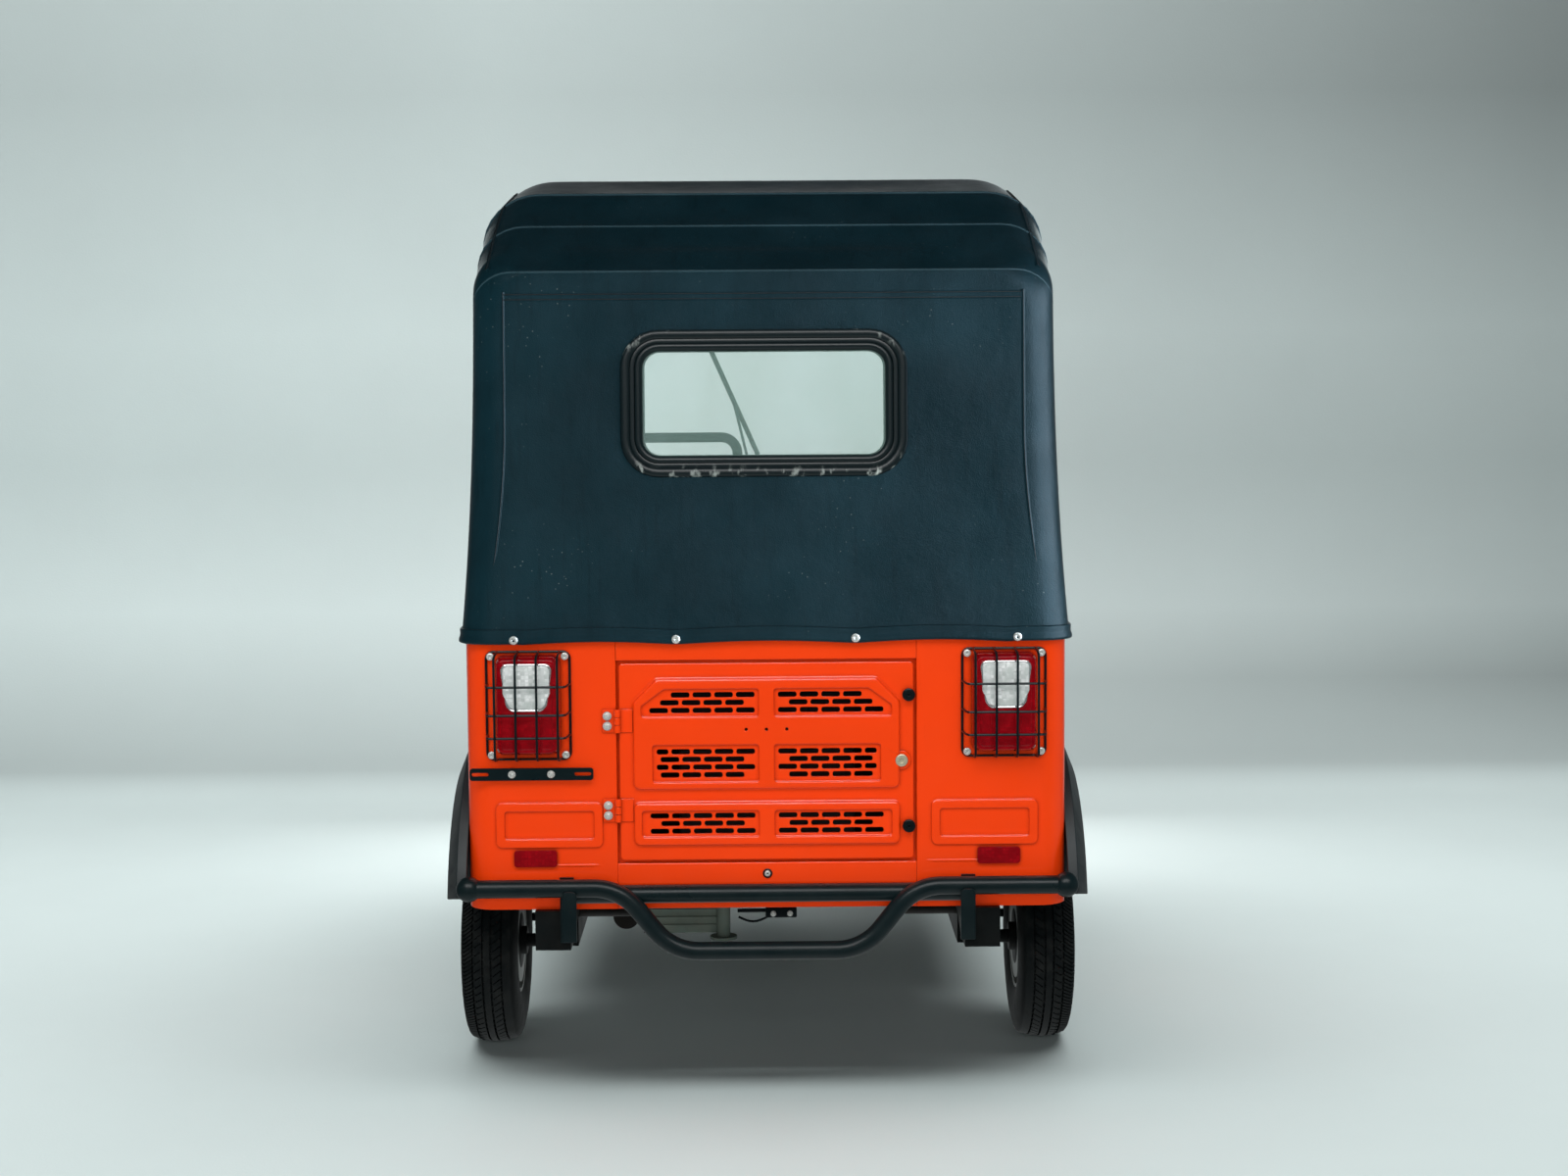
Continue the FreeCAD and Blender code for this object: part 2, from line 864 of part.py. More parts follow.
def body_plan(inset):
    """Hull of the rear body: straight sides and two rounded rear corners."""
    r = body_corner_radius - inset
    half, back = body_half_width - inset, rear_plane_y - inset
    points = [
        V(-half, quarter_front_y, quarter_low_z),
        V(half, quarter_front_y, quarter_low_z),
        V(half, back, quarter_low_z),
        V(-half, back, quarter_low_z),
    ]
    wire = rounded_wire(points, [0, 0, r, r])
    return Part.Face(wire).extrude(V(0, 0, body_top_z - quarter_low_z))


def quarter_panel():
    shell = body_plan(0).cut(body_plan(panel_thick))
    beyond_seam = box(
        door_open_half,
        overall_length,
        0,
        overall_length,
        0,
        overall_height,
    )
    shell = shell.common(beyond_seam)
    side = [
        (quarter_front_y, quarter_low_z),
        (rear_axle_y, quarter_low_z),
        (rear_axle_y, body_bottom_z),
        (rear_plane_y + cut_over, body_bottom_z),
        (rear_plane_y + cut_over, body_top_z),
        (quarter_shoulder_y, body_top_z),
        (quarter_front_y, quarter_shoulder_z),
    ]
    bends = [0, 0, 0, 0, 0, body_corner_radius, body_corner_radius]
    shell = shell.common(prism_x(side, 0, overall_length, bends))
    arch = Part.makeCylinder(
        arch_radius,
        body_half_width,
        V(body_half_width - cut_over, rear_axle_y, arch_center_z),
        V(1, 0, 0),
    )
    shell = shell.cut(arch)
    width, height = corner_emboss_size
    face = rear_plane_y
    boss = plate(
        corner_emboss_x, corner_emboss_z, width, height, emboss_corner, face, face + corner_emboss_rise
    )
    width, height = corner_emboss_inner
    dent = plate(
        corner_emboss_x, corner_emboss_z, width, height, emboss_corner / 2, face, face + corner_emboss_rise
    )
    return shell.fuse(boss.cut(dent))


def rear_centre_panel():
    face, back = rear_plane_y, rear_plane_y - panel_thick
    high = box(-door_open_half, door_open_half, back, face, door_open_high_z, body_top_z)
    low = box(-door_open_half, door_open_half, back, face, body_bottom_z, door_open_low_z)
    wide = door_open_half + rebate_thick
    outer = box(
        -wide,
        wide,
        back - rebate_depth,
        back,
        door_open_low_z - rebate_thick,
        door_open_high_z + rebate_thick,
    )
    inner = box(
        -door_open_half,
        door_open_half,
        back - rebate_depth,
        back,
        door_open_low_z,
        door_open_high_z,
    )
    jamb = outer.cut(inner)
    lip_outer = box(
        -wide,
        wide,
        back - rebate_depth - rebate_thick,
        back - rebate_depth,
        door_open_low_z - rebate_thick,
        door_open_high_z + rebate_thick,
    )
    lip_inner = box(
        rebate_width - door_open_half,
        door_open_half - rebate_width,
        back - rebate_depth - rebate_thick,
        back - rebate_depth,
        door_open_low_z + rebate_width,
        door_open_high_z - rebate_width,
    )
    return fused([high, low, jamb, lip_outer.cut(lip_inner)])


def slot(x, z, length, y0, y1):
    return plate(x, z, length, slot_height, slot_height / 2 - seat_gap, y0, y1)


def recess_outline(name, side_gap, low_z, high_z):
    """Corner points of one sunk panel on the left half of the door."""
    outer_x = door_open_half - side_gap
    if name == "upper":
        cut = (high_z - low_z) * recess_corner_share
        return [
            (recess_inner_x, low_z),
            (outer_x, low_z),
            (outer_x, low_z + cut),
            (outer_x - upper_panel_chamfer, high_z),
            (recess_inner_x, high_z),
        ]
    return [
        (recess_inner_x, low_z),
        (outer_x, low_z),
        (outer_x, high_z),
        (recess_inner_x, high_z),
    ]


def recess_slots(name, side_gap, low_z, high_z, y0, y1):
    """Rows of round-ended slots from the top down, every other row moved by half a pitch."""
    rows = int((high_z - low_z - slot_height - 2 * slot_edge_gap) // slot_row_pitch) + 1
    middle = (low_z + high_z) / 2
    slots = []
    for row in range(rows):
        z = middle + ((rows - 1) / 2 - row) * slot_row_pitch
        reach = door_open_half - side_gap - slot_margin
        if name == "upper":
            reach -= upper_panel_chamfer * max(0.0, (z - middle) / (high_z - low_z) + slot_taper_share)
        start = recess_inner_x + slot_margin + (row % 2) * slot_pitch / 2
        count = int((reach - start + slot_pitch - slot_length) // slot_pitch)
        for i in range(count):
            slots.append(slot(start + slot_length / 2 + i * slot_pitch, z, slot_length, y0, y1))
        end_length = reach - start - count * slot_pitch
        if name in short_end_rows and end_length > 2 * slot_height:
            slots.append(slot(reach - end_length / 2, z, end_length, y0, y1))
    return slots


def door_panel_outlines():
    h = upper_panel_half
    c = upper_panel_chamfer
    upper = [
        (-h, upper_panel_low_z),
        (h, upper_panel_low_z),
        (h, upper_panel_high_z - c),
        (h - c, upper_panel_high_z),
        (c - h, upper_panel_high_z),
        (-h, upper_panel_high_z - c),
    ]
    h = lower_panel_half
    lower = [
        (-h, lower_panel_low_z),
        (h, lower_panel_low_z),
        (h, lower_panel_high_z),
        (-h, lower_panel_high_z),
    ]
    return [upper, lower]


def hinge_knuckle(z_mid, part_share_low, part_share_high):
    low = z_mid - hinge_barrel_length / 2 + part_share_low * hinge_barrel_length
    high = z_mid - hinge_barrel_length / 2 + part_share_high * hinge_barrel_length
    return rod(V(hinge_axis_x, hinge_axis_y, low), V(hinge_axis_x, hinge_axis_y, high), hinge_barrel_radius)


def engine_door():
    face, back = rear_plane_y, rear_plane_y - panel_thick
    half = door_open_half - door_gap
    low, high = door_open_low_z + door_gap, door_open_high_z - door_gap
    door = plate(0, (low + high) / 2, 2 * half, high - low, door_corner_radius, back, face)
    for outline in door_panel_outlines():
        door = door.fuse(prism_y(outline, face, face + emboss_rise, [emboss_corner] * len(outline)))
    cuts = []
    crown = face + emboss_rise
    for name, side_gap, low_z, high_z in recess_rows:
        outline = recess_outline(name, side_gap, low_z, high_z)
        sunk = prism_y(outline, crown - recess_depth, crown, [emboss_corner / 2] * len(outline))
        cuts += both_sides(sunk)
        for hole in recess_slots(name, side_gap, low_z, high_z, back, crown):
            cuts += both_sides(hole)
    for i in (-1, 0, 1):
        cuts.append(
            rod(
                V(i * badge_hole_pitch, back, badge_hole_z),
                V(i * badge_hole_pitch, crown, badge_hole_z),
                badge_hole_radius,
            )
        )
    low, high = V(lock_x, face, lock_z), V(lock_x, crown, lock_z)
    cuts.append(rod(low, high, lock_radius + seat_gap))
    door = door.cut(Part.makeCompound(cuts))
    for z in hinge_heights:
        gap_share = knuckle_gap / hinge_barrel_length
        knuckle = hinge_knuckle(z, 1 / 3 + gap_share, 2 / 3 - gap_share)
        leaf = box(
            hinge_axis_x - hinge_leaf_reach,
            hinge_axis_x,
            face,
            face + hinge_leaf_thick,
            z - hinge_barrel_length / 6 + knuckle_gap,
            z + hinge_barrel_length / 6 - knuckle_gap,
        )
        tail = box(
            hinge_axis_x - hinge_leaf_reach,
            door_open_half - door_gap,
            face,
            face + hinge_leaf_thick,
            z - hinge_barrel_length / 2,
            z + hinge_barrel_length / 2,
        )
        tail = tail.cut(rod(
            V(hinge_axis_x, hinge_axis_y, z - hinge_barrel_length),
            V(hinge_axis_x, hinge_axis_y, z + hinge_barrel_length),
            hinge_barrel_radius + seat_gap,
        ))
        bore = rod(
            V(hinge_axis_x, hinge_axis_y, z - hinge_barrel_length),
            V(hinge_axis_x, hinge_axis_y, z + hinge_barrel_length),
            hinge_pin_radius + hinge_play,
        )
        door = door.fuse([knuckle, leaf, tail]).cut(bore)
    return door


def door_hinges():
    pieces = []
    for z in hinge_heights:
        gap_share = knuckle_gap / hinge_barrel_length
        low = hinge_knuckle(z, 0, 1 / 3 - gap_share)
        high = hinge_knuckle(z, 2 / 3 + gap_share, 1)
        pin = rod(
            V(hinge_axis_x, hinge_axis_y, z - hinge_barrel_length / 2),
            V(hinge_axis_x, hinge_axis_y, z + hinge_barrel_length / 2),
            hinge_pin_radius,
        )
        leaf = box(
            hinge_axis_x,
            hinge_axis_x + hinge_leaf_reach,
            rear_plane_y,
            rear_plane_y + hinge_leaf_thick,
            z - hinge_barrel_length / 2,
            z + hinge_barrel_length / 2,
        )
        room = rod(
            V(hinge_axis_x, hinge_axis_y, z - hinge_barrel_length / 6),
            V(hinge_axis_x, hinge_axis_y, z + hinge_barrel_length / 6),
            hinge_barrel_radius + seat_gap,
        )
        pieces.append(fused([low, high, leaf]).cut(room).fuse(pin))
    return Part.makeCompound(pieces)


def door_lock():
    face = rear_plane_y
    return rod(V(lock_x, face, lock_z), V(lock_x, face + lock_rise, lock_z), lock_radius)


def door_buffers():
    pieces = []
    for z in buffer_heights:
        low = V(buffer_x, rear_plane_y, z)
        high = V(buffer_x, rear_plane_y + buffer_rise, z)
        pieces.append(rod(low, high, buffer_radius))
    return Part.makeCompound(pieces)


def fender_flare():
    """Flare with a stepped outer edge, spun round the wheel arch."""
    outer = arch_radius + flare_band
    lip = arch_radius + flare_wall
    wall = body_half_width + seat_gap
    profile = [
        (outer, wall),
        (outer, wall + flare_step),
        (lip, flare_reach),
        (arch_radius, flare_reach),
        (arch_radius, wall),
        (lip, wall),
        (lip, flare_reach - flare_wall),
        (outer - flare_wall, wall + flare_step - flare_wall),
        (outer - flare_wall, wall),
    ]
    span = flare_front_angle - flare_rear_angle
    return ring_about_x(profile, rear_axle_y, arch_center_z, span, flare_rear_angle - 90)


def tail_lamp():
    width, height = lamp_size
    face = rear_plane_y
    low = plate(lamp_x, lamp_z, width, height, lamp_corner, face, face + lamp_depth / 2)
    high = plate(
        lamp_x,
        lamp_z,
        width - 2 * lamp_draft,
        height - 2 * lamp_draft,
        lamp_corner,
        face + lamp_depth / 2,
        face + lamp_depth,
    )
    return low.fuse(high)


def lamp_guard():
    """Wire cage: a rim on the panel, upright and level wires that stand out round the lamp."""
    width, height = guard_size
    face = rear_plane_y
    wire = guard_wire
    rim_outer = plate(lamp_x, guard_z, width, height, lamp_corner, face, face + wire)
    rim_inner = plate(
        lamp_x, guard_z, width - 2 * wire, height - 2 * wire, lamp_corner - wire, face, face + wire
    )
    pieces = [rim_outer.cut(rim_inner)]
    # the wires stand on the middle of the rim
    low_z, high_z = guard_z - (height - wire) / 2, guard_z + (height - wire) / 2
    left_x, right_x = lamp_x - (width - wire) / 2, lamp_x + (width - wire) / 2
    out = face + guard_depth
    for share in guard_upright_shares:
        x = lamp_x + share * width
        hoop = box(x - wire / 2, x + wire / 2, face, out, low_z, high_z)
        room = box(x - wire / 2, x + wire / 2, face, out - wire, low_z + wire, high_z - wire)
        pieces.append(hoop.cut(room))
    for share in guard_bar_shares:
        z = guard_z + share * height
        hoop = box(left_x, right_x, face, out, z - wire / 2, z + wire / 2)
        room = box(left_x + wire, right_x - wire, face, out - wire, z - wire / 2, z + wire / 2)
        pieces.append(hoop.cut(room))
    return fused(pieces)


def reflector():
    width, height = reflector_size
    face = rear_plane_y
    return plate(reflector_x, reflector_z, width, height, panel_thick, face, face + reflector_thick)


def plate_bracket():
    back = rear_plane_y + plate_bar_standoff
    bar = plate(
        plate_bar_x,
        plate_bar_z,
        plate_bar_length,
        plate_bar_height,
        panel_thick,
        back,
        back + plate_bar_thick,
    )
    for side in (-1, 1):
        x = plate_bar_x + side * plate_bolt_pitch / 2
        boss = rod(V(x, rear_plane_y, plate_bar_z), V(x, back, plate_bar_z), plate_boss_radius)
        bar = bar.fuse(boss)
    for side in (-1, 1):
        x = plate_bar_x + side * plate_slot_pitch / 2
        hole = plate(
            x,
            plate_bar_z,
            plate_slot_length,
            plate_slot_width,
            plate_slot_width / 2 - hinge_play,
            back,
            back + plate_bar_thick,
        )
        bar = bar.cut(hole)
    return bar


def rear_bumper():
    y = bumper_y
    points = [
        V(-bumper_half, y, bumper_z),
        V(-hoop_high_half, y, bumper_z),
        V(-hoop_low_half, y, hoop_low_z),
        V(hoop_low_half, y, hoop_low_z),
        V(hoop_high_half, y, bumper_z),
        V(bumper_half, y, bumper_z),
    ]
    pieces = [round_bar(points, bumper_tube_radius, hoop_bend)]
    brace_y = y - brace_tube_inset
    pieces.append(
        rod(
            V(-brace_tube_half, brace_y, brace_tube_z),
            V(brace_tube_half, brace_y, brace_tube_z),
            bumper_tube_radius,
        )
    )
    plate_back = y - bumper_tube_radius - bumper_plate_thick
    for side in (1, -1):
        pieces.append(Part.makeSphere(bumper_ball_radius, V(side * bumper_half, y, bumper_z)))
        x = side * bumper_plate_x
        pieces.append(
            box(
                x - bumper_plate_width / 2,
                x + bumper_plate_width / 2,
                plate_back,
                y,
                bumper_z - bumper_tube_radius / 2,
                bumper_z + bumper_tube_radius / 2,
            )
        )
        pieces.append(
            box(
                x - bumper_plate_width / 2,
                x + bumper_plate_width / 2,
                plate_back,
                plate_back + bumper_plate_thick,
                bumper_plate_low_z,
                bumper_z + bumper_tube_radius,
            )
        )
    return fused(pieces)


# Soft top


def hood_rear_y(z, inset):
    return ridge_back - inset + (rear_hoop_z - z) * hood_wall_lean


def hood_section(y, top_z, half, corner, inset, lean=0.0):
    """Arched outline across the vehicle, its foot set back by the lean of the rear wall."""
    spread = (body_top_z - hood_hem_z) * hood_side_lean + hood_base_half - hoop_half
    foot_y = y + (top_z - hood_hem_z) * lean
    points = [
        V(half + spread - inset, foot_y, hood_hem_z),
        V(half - inset, y + inset * lean, top_z - inset),
        V(inset - half, y + inset * lean, top_z - inset),
        V(inset - half - spread, foot_y, hood_hem_z),
    ]
    radius = corner - inset
    return rounded_wire(points, [0, radius, radius, 0])


def hood_solid(inset):
    """Solid hull of the soft top, shrunk by an inset on every side."""
    back_y, back_z, half, corner = ridge_steps[0]
    next_y, next_z = ridge_steps[1][:2]
    rise = (next_z - back_z) / (back_y - next_y)
    radius = hood_corner - inset
    sections = []
    for step in range(hood_corner_steps + 1):
        angle = math.pi / 2 * (1 - step / hood_corner_steps)
        forward = radius * (1 - math.sin(angle))
        narrow = radius * (1 - math.cos(angle))
        top_z = back_z + rise * forward
        y = back_y - inset - forward
        sections.append(hood_section(y, top_z, half - narrow, corner, inset, hood_wall_lean))
    for y, top_z, half, corner in ridge_steps[1:-1]:
        sections.append(hood_section(y, top_z, half, corner, inset))
    y, top_z, half, corner = ridge_steps[-1]
    sections.append(hood_section(y - inset, top_z, half, corner, inset))
    return Part.makeLoft(sections, True, True)


def on_rear_wall(shape):
    """Lean a shape, drawn upright at Y zero about the window's middle, onto the rear wall."""
    turned = shape.copy()
    turned.rotate(V(0, 0, 0), V(1, 0, 0), math.degrees(math.atan(hood_wall_lean)))
    turned.translate(V(0, hood_rear_y(window_z, 0), window_z))
    return turned


def canopy():
    shell = hood_solid(0).cut(hood_solid(hood_thick))
    front = ridge_steps[-1][0] - cut_over
    top = side_open_top_z
    sides = [
        (front, hood_hem_z - cut_over),
        (side_open_rear_y, hood_hem_z - cut_over),
        (side_open_rear_y, hood_hem_z),
        (side_open_rear_y - side_open_lean, top),
        (front, top),
    ]
    opening = prism_x(sides, -overall_length, overall_length, [0, 0, 0, side_open_bend, 0])
    shell = shell.cut(opening)
    inner = (window_seal[0] - 2 * window_web, window_seal[1] - 2 * window_web)
    hole = plate(0, 0, inner[0], inner[1], window_seal_corner - window_web, -cut_over, cut_over)
    shell = shell.cut(on_rear_wall(hole))
    front_room = box(
        -overall_length,
        overall_length,
        front - cut_over,
        ridge_steps[-1][0],
        0,
        side_open_top_z,
    )
    return shell.cut(front_room).cut(body_plan(-seat_gap))


def window_seal_ring():
    web = (window_seal[0] - 2 * window_web - 2 * seat_gap, window_seal[1] - 2 * window_web - 2 * seat_gap)
    outer = plate(0, 0, window_seal[0], window_seal[1], window_seal_corner, seat_gap, seal_rise)
    neck = plate(
        0, 0, web[0], web[1], window_seal_corner - window_web - seat_gap, -hood_thick - seat_gap, seat_gap
    )
    inner_lip = plate(
        0,
        0,
        window_seal[0],
        window_seal[1],
        window_seal_corner,
        -hood_thick - seal_rise,
        -hood_thick - seat_gap,
    )
    sight = plate(
        0, 0, window_sight[0], window_sight[1], window_sight_corner, -overall_length, overall_length
    )
    pane = plate(
        0,
        0,
        window_glass[0],
        window_glass[1],
        window_glass_corner,
        -hood_thick / 2 - glass_thick / 2,
        -hood_thick / 2 + glass_thick / 2,
    )
    return on_rear_wall(outer.fuse([neck, inner_lip]).cut(sight).cut(pane))


def rear_window_glass():
    pane = plate(
        0,
        0,
        window_glass[0],
        window_glass[1],
        window_glass_corner,
        -hood_thick / 2 - glass_thick / 2,
        -hood_thick / 2 + glass_thick / 2,
    )
    return on_rear_wall(pane)


def roof_hoop(y, top_z, half, corner):
    drop = hood_thick + frame_tube_radius * frame_hoop_inset
    points = [
        V(half - drop, y, side_rail_z),
        V(half - drop, y, top_z - drop),
        V(drop - half, y, top_z - drop),
        V(drop - half, y, side_rail_z),
    ]
    bend = min(corner, top_z - drop - side_rail_z - seat_gap)
    return round_bar(points, frame_tube_radius, bend)


def cab_frame(screen_frame):
    """Roof hoops, side rails and posts of bent tube."""
    drop = hood_thick + frame_tube_radius * frame_hoop_inset
    pieces = []
    for y, top_z, half, corner in ridge_steps[1:-1]:
        pieces.append(roof_hoop(y, top_z, half, corner))
    header_half = ridge_steps[-1][2]
    rear_half = hoop_half
    rail_front_y = screen_low_y + (side_rail_z - screen_low_z) * math.tan(math.radians(screen_rake))
    foot_x = body_half_width - panel_thick - frame_tube_radius - seat_gap
    for side in (1, -1):
        front = V(side * (header_half - drop - frame_tube_radius / 2), rail_front_y, side_rail_z)
        middle = V(side * (rear_half - drop), quarter_post_y, side_rail_z)
        back = V(side * (rear_half - drop), rear_post_y, side_rail_z)
        pieces.append(rod(middle, back, frame_tube_radius))
        pieces.append(rod(front, middle, frame_tube_radius))
        for y, foot_z in ((rear_post_y, shelf_z), (quarter_post_y, deck_z)):
            top = V(side * (rear_half - drop), y, side_rail_z)
            knee = V(side * foot_x, y, body_top_z)
            foot = V(side * foot_x, y, foot_z)
            pieces.append(round_bar([foot, knee, top], frame_tube_radius, post_bend))
        foot = V(side * partition_half, partition_y, floor_top_z)
        bend = V(side * partition_half, partition_y, partition_top_z)
        top = V(side * (ridge_steps[-2][2] - drop), partition_y, side_rail_z)
        pieces.append(round_bar([foot, bend, top], frame_tube_radius, post_bend))
    return fused(pieces).cut(screen_frame)


# Front


def on_screen(shape):
    """Lean a shape, drawn upright about the middle of the screen's foot, to the screen's rake."""
    turned = shape.copy()
    turned.rotate(V(0, 0, 0), V(1, 0, 0), -screen_rake)
    turned.translate(V(0, screen_low_y, screen_low_z))
    return turned


def screen_pane(grow, y0, y1):
    width = screen_width - 2 * screen_bar + 2 * grow
    height = screen_height - 2 * screen_bar + 2 * grow
    return plate(0, screen_height / 2, width, height, screen_corner - screen_bar / 2 + grow, y0, y1)


def windscreen_frame(cowl_body):
    half = screen_depth / 2
    outer = plate(0, screen_height / 2, screen_width, screen_height, screen_corner, -half, half)
    sight = screen_pane(0, -half, half)
    rebate = screen_pane(screen_lip, 0, half)
    return on_screen(outer.cut(sight).cut(rebate)).cut(cowl_body)


def windscreen_glass():
    return on_screen(screen_pane(screen_lip - seat_gap, 0, glass_thick))


def windscreen_wiper():
    front = -seat_gap
    low = V(wiper_blade_low_x, front, wiper_blade_low_share * screen_height)
    high = V(wiper_blade_high_x, front, wiper_blade_high_share * screen_height)
    middle = (low + high) / 2
    foot = V(wiper_pivot_x, front, screen_bar / 2)
    lift = V(0, -wiper_bar, 0)
    blade = rod(low - V(0, wiper_bar / 2, 0), high - V(0, wiper_bar / 2, 0), wiper_bar / 2)
    out = V(0, -screen_depth / 2 - wiper_bar, 0)
    arm = rod(foot + out, middle + lift, wiper_bar / 2)
    boss = rod(
        V(wiper_pivot_x, -screen_depth / 2 - 2 * wiper_bar, screen_bar / 2),
        V(wiper_pivot_x, -screen_depth / 2, screen_bar / 2),
        2 * wiper_bar,
    )
    return on_screen(fused([blade, arm, boss]))


def cowl_wire(z, side_inset, reach, inset):
    """Plan outline: straight sides, rounded shoulders and a gently curved nose."""
    half = body_half_width - side_inset - inset
    front_y = front_axle_y - reach + inset
    shoulder_y = front_y + cowl_corner_depth
    corner_x = half - cowl_corner_width
    points = [
        V(half, cowl_rear_y, z),
        V(half, shoulder_y, z),
        V(corner_x, front_y, z),
        V(-corner_x, front_y, z),
        V(-half, shoulder_y, z),
        V(-half, cowl_rear_y, z),
    ]
    shoulder, front = cowl_corner_round - inset, cowl_front_round - inset
    return rounded_wire(points, [0, shoulder, front, front, shoulder, 0])


def cowl_solid(inset, top_inset):
    wires = [cowl_wire(z, side, reach, inset) for z, side, reach in cowl_sections[:-1]]
    z, side, reach = cowl_sections[-1]
    wires.append(cowl_wire(z - top_inset, side, reach, inset))
    return Part.makeLoft(wires, True, True)


def front_cowl():
    """Nose shell with its wheel arch and the hatch under the windscreen."""
    shell = cowl_solid(0, 0).cut(cowl_solid(cowl_thick, cowl_thick))
    arch = [
        (-cowl_arch_half, cowl_low_z - cut_over),
        (cowl_arch_half, cowl_low_z - cut_over),
        (cowl_arch_half, cowl_arch_top_z),
        (-cowl_arch_half, cowl_arch_top_z),
    ]
    opening = prism_y(arch, -overall_length, cowl_rear_y, [0, 0, cowl_arch_corner, cowl_arch_corner])
    top_half = body_half_width - cowl_sections[-1][1]
    hatch = box(
        -top_half + cowl_thick,
        top_half - cowl_thick,
        dash_rear_y - cut_over,
        cowl_rear_y + cut_over,
        screen_low_z - 2 * cowl_thick,
        screen_low_z + cowl_thick,
    )
    return shell.cut(opening).cut(hatch)


def lamp_pod(x, z, radius, reach, dome_rise, body):
    """Round lamp: a short barrel that grows out of the cowl, closed by a shallow domed lens."""
    front_y = front_axle_y - reach
    barrel = rod(V(x, front_y, z), V(x, front_y + reach, z), radius)
    sphere_radius = (radius * radius + dome_rise * dome_rise) / (2 * dome_rise)
    lens = Part.makeSphere(sphere_radius, V(x, front_y - dome_rise + sphere_radius, z))
    lens = lens.common(rod(V(x, front_y - 2 * dome_rise, z), V(x, front_y + dome_rise, z), radius))
    root = rod(V(x, front_y, z), V(x, front_y + reach + lamp_root, z), radius)
    return fused([barrel, lens]).common(fused([root, lens])).cut(body)


def headlamps(cowl_body):
    pod = lamp_pod(headlamp_x, headlamp_z, headlamp_radius, headlamp_reach, headlamp_dome, cowl_body)
    rim_y = front_axle_y - headlamp_reach
    bezel = rod(
        V(headlamp_x, rim_y, headlamp_z),
        V(headlamp_x, rim_y + headlamp_bezel, headlamp_z),
        headlamp_radius + headlamp_bezel / 2,
    )
    return Part.makeCompound(both_sides(pod.fuse(bezel.cut(cowl_body))))


def front_indicators(cowl_body):
    pod = lamp_pod(
        indicator_x, indicator_z, indicator_radius, indicator_reach, indicator_dome, cowl_body
    )
    return Part.makeCompound(both_sides(pod))


def dash_panel():
    half = body_half_width
    inside = cowl_solid(cowl_thick + seat_gap, cowl_thick)
    outline = [
        (dash_rear_y, dash_low_z),
        (dash_rear_y - dash_thick, dash_low_z),
        (dash_rear_y - dash_thick, dash_high_z - dash_thick),
        (dash_front_y, dash_high_z - dash_thick),
        (dash_front_y, dash_high_z),
        (dash_rear_y, dash_high_z),
    ]
    room = rod(steer_point(cowl_low_z), steer_point(column_top_z), column_radius + move_gap)
    return prism_x(outline, -half, half).common(inside).cut(room)


def mirror(screen_frame):
    width, height = mirror_size
    foot = V(screen_width / 2 - screen_bar / 2, screen_low_y, mirror_foot_z)
    along = (mirror_foot_z - screen_low_z) * math.tan(math.radians(screen_rake))
    foot = foot + V(0, along, 0)
    head_low = V(mirror_x, foot.y, mirror_z - height / 2 + mirror_corner)
    arm = round_bar([foot, V(mirror_x, foot.y, mirror_foot_z), head_low], mirror_arm_radius, mirror_corner)
    head = plate(
        mirror_x,
        mirror_z,
        width,
        height,
        mirror_corner,
        foot.y - mirror_thick / 2,
        foot.y + mirror_thick / 2,
    )
    return arm.fuse(head).cut(screen_frame)


# Cabin


def seat_base():
    """Folded sheet: bench front, deck, engine bay wall and parcel shelf."""
    t = seat_sheet
    half = body_half_width - panel_thick - seat_gap
    outline = [
        (bench_front_y, floor_top_z - floor_thick),
        (bench_front_y, deck_z),
        (deck_rear_y, deck_z),
        (deck_rear_y + shelf_lean, shelf_z),
        (rear_plane_y - panel_thick - rebate_depth - 2 * rebate_thick, shelf_z),
        (rear_plane_y - panel_thick - rebate_depth - 2 * rebate_thick, shelf_z - t),
        (deck_rear_y + shelf_lean + t, shelf_z - t),
        (deck_rear_y + t, deck_z - t),
        (bench_front_y + t, deck_z - t),
        (bench_front_y + t, floor_top_z - floor_thick),
    ]
    return prism_x(outline, -half, half).common(body_plan(panel_thick + seat_gap))


def passenger_cushion():
    low = deck_z + seat_gap
    high = low + cushion_height
    outline = [
        (bench_front_y - cushion_front_over, low),
        (bench_front_y - cushion_front_over, high),
        (deck_rear_y - backrest_thick, high),
        (deck_rear_y - backrest_thick, low),
    ]
    bends = [0, cushion_round, cushion_round, 0]
    return prism_x(outline, -cushion_half_width, cushion_half_width, bends)


def passenger_backrest():
    low = deck_z + seat_gap
    front = deck_rear_y - backrest_thick + seat_gap
    outline = [
        (front, low),
        (front + backrest_lean, backrest_top_z),
        (front + backrest_lean + backrest_thick - 2 * cushion_round, backrest_top_z),
        (deck_rear_y - seat_gap + shelf_lean, shelf_z + cushion_round),
        (deck_rear_y - 2 * seat_gap, low),
    ]
    bends = [0, cushion_round, cushion_round, 0, 0]
    solid = prism_x(outline, -cushion_half_width, cushion_half_width, bends)
    return solid


def driver_seat_base():
    t = seat_sheet
    outer = box(
        -driver_seat_half,
        driver_seat_half,
        driver_seat_front_y,
        driver_seat_rear_y,
        floor_top_z,
        driver_seat_z,
    )
    inner = box(
        t - driver_seat_half,
        driver_seat_half - t,
        driver_seat_front_y + t,
        driver_seat_rear_y - t,
        floor_top_z,
        driver_seat_z - t,
    )
    return outer.cut(inner)


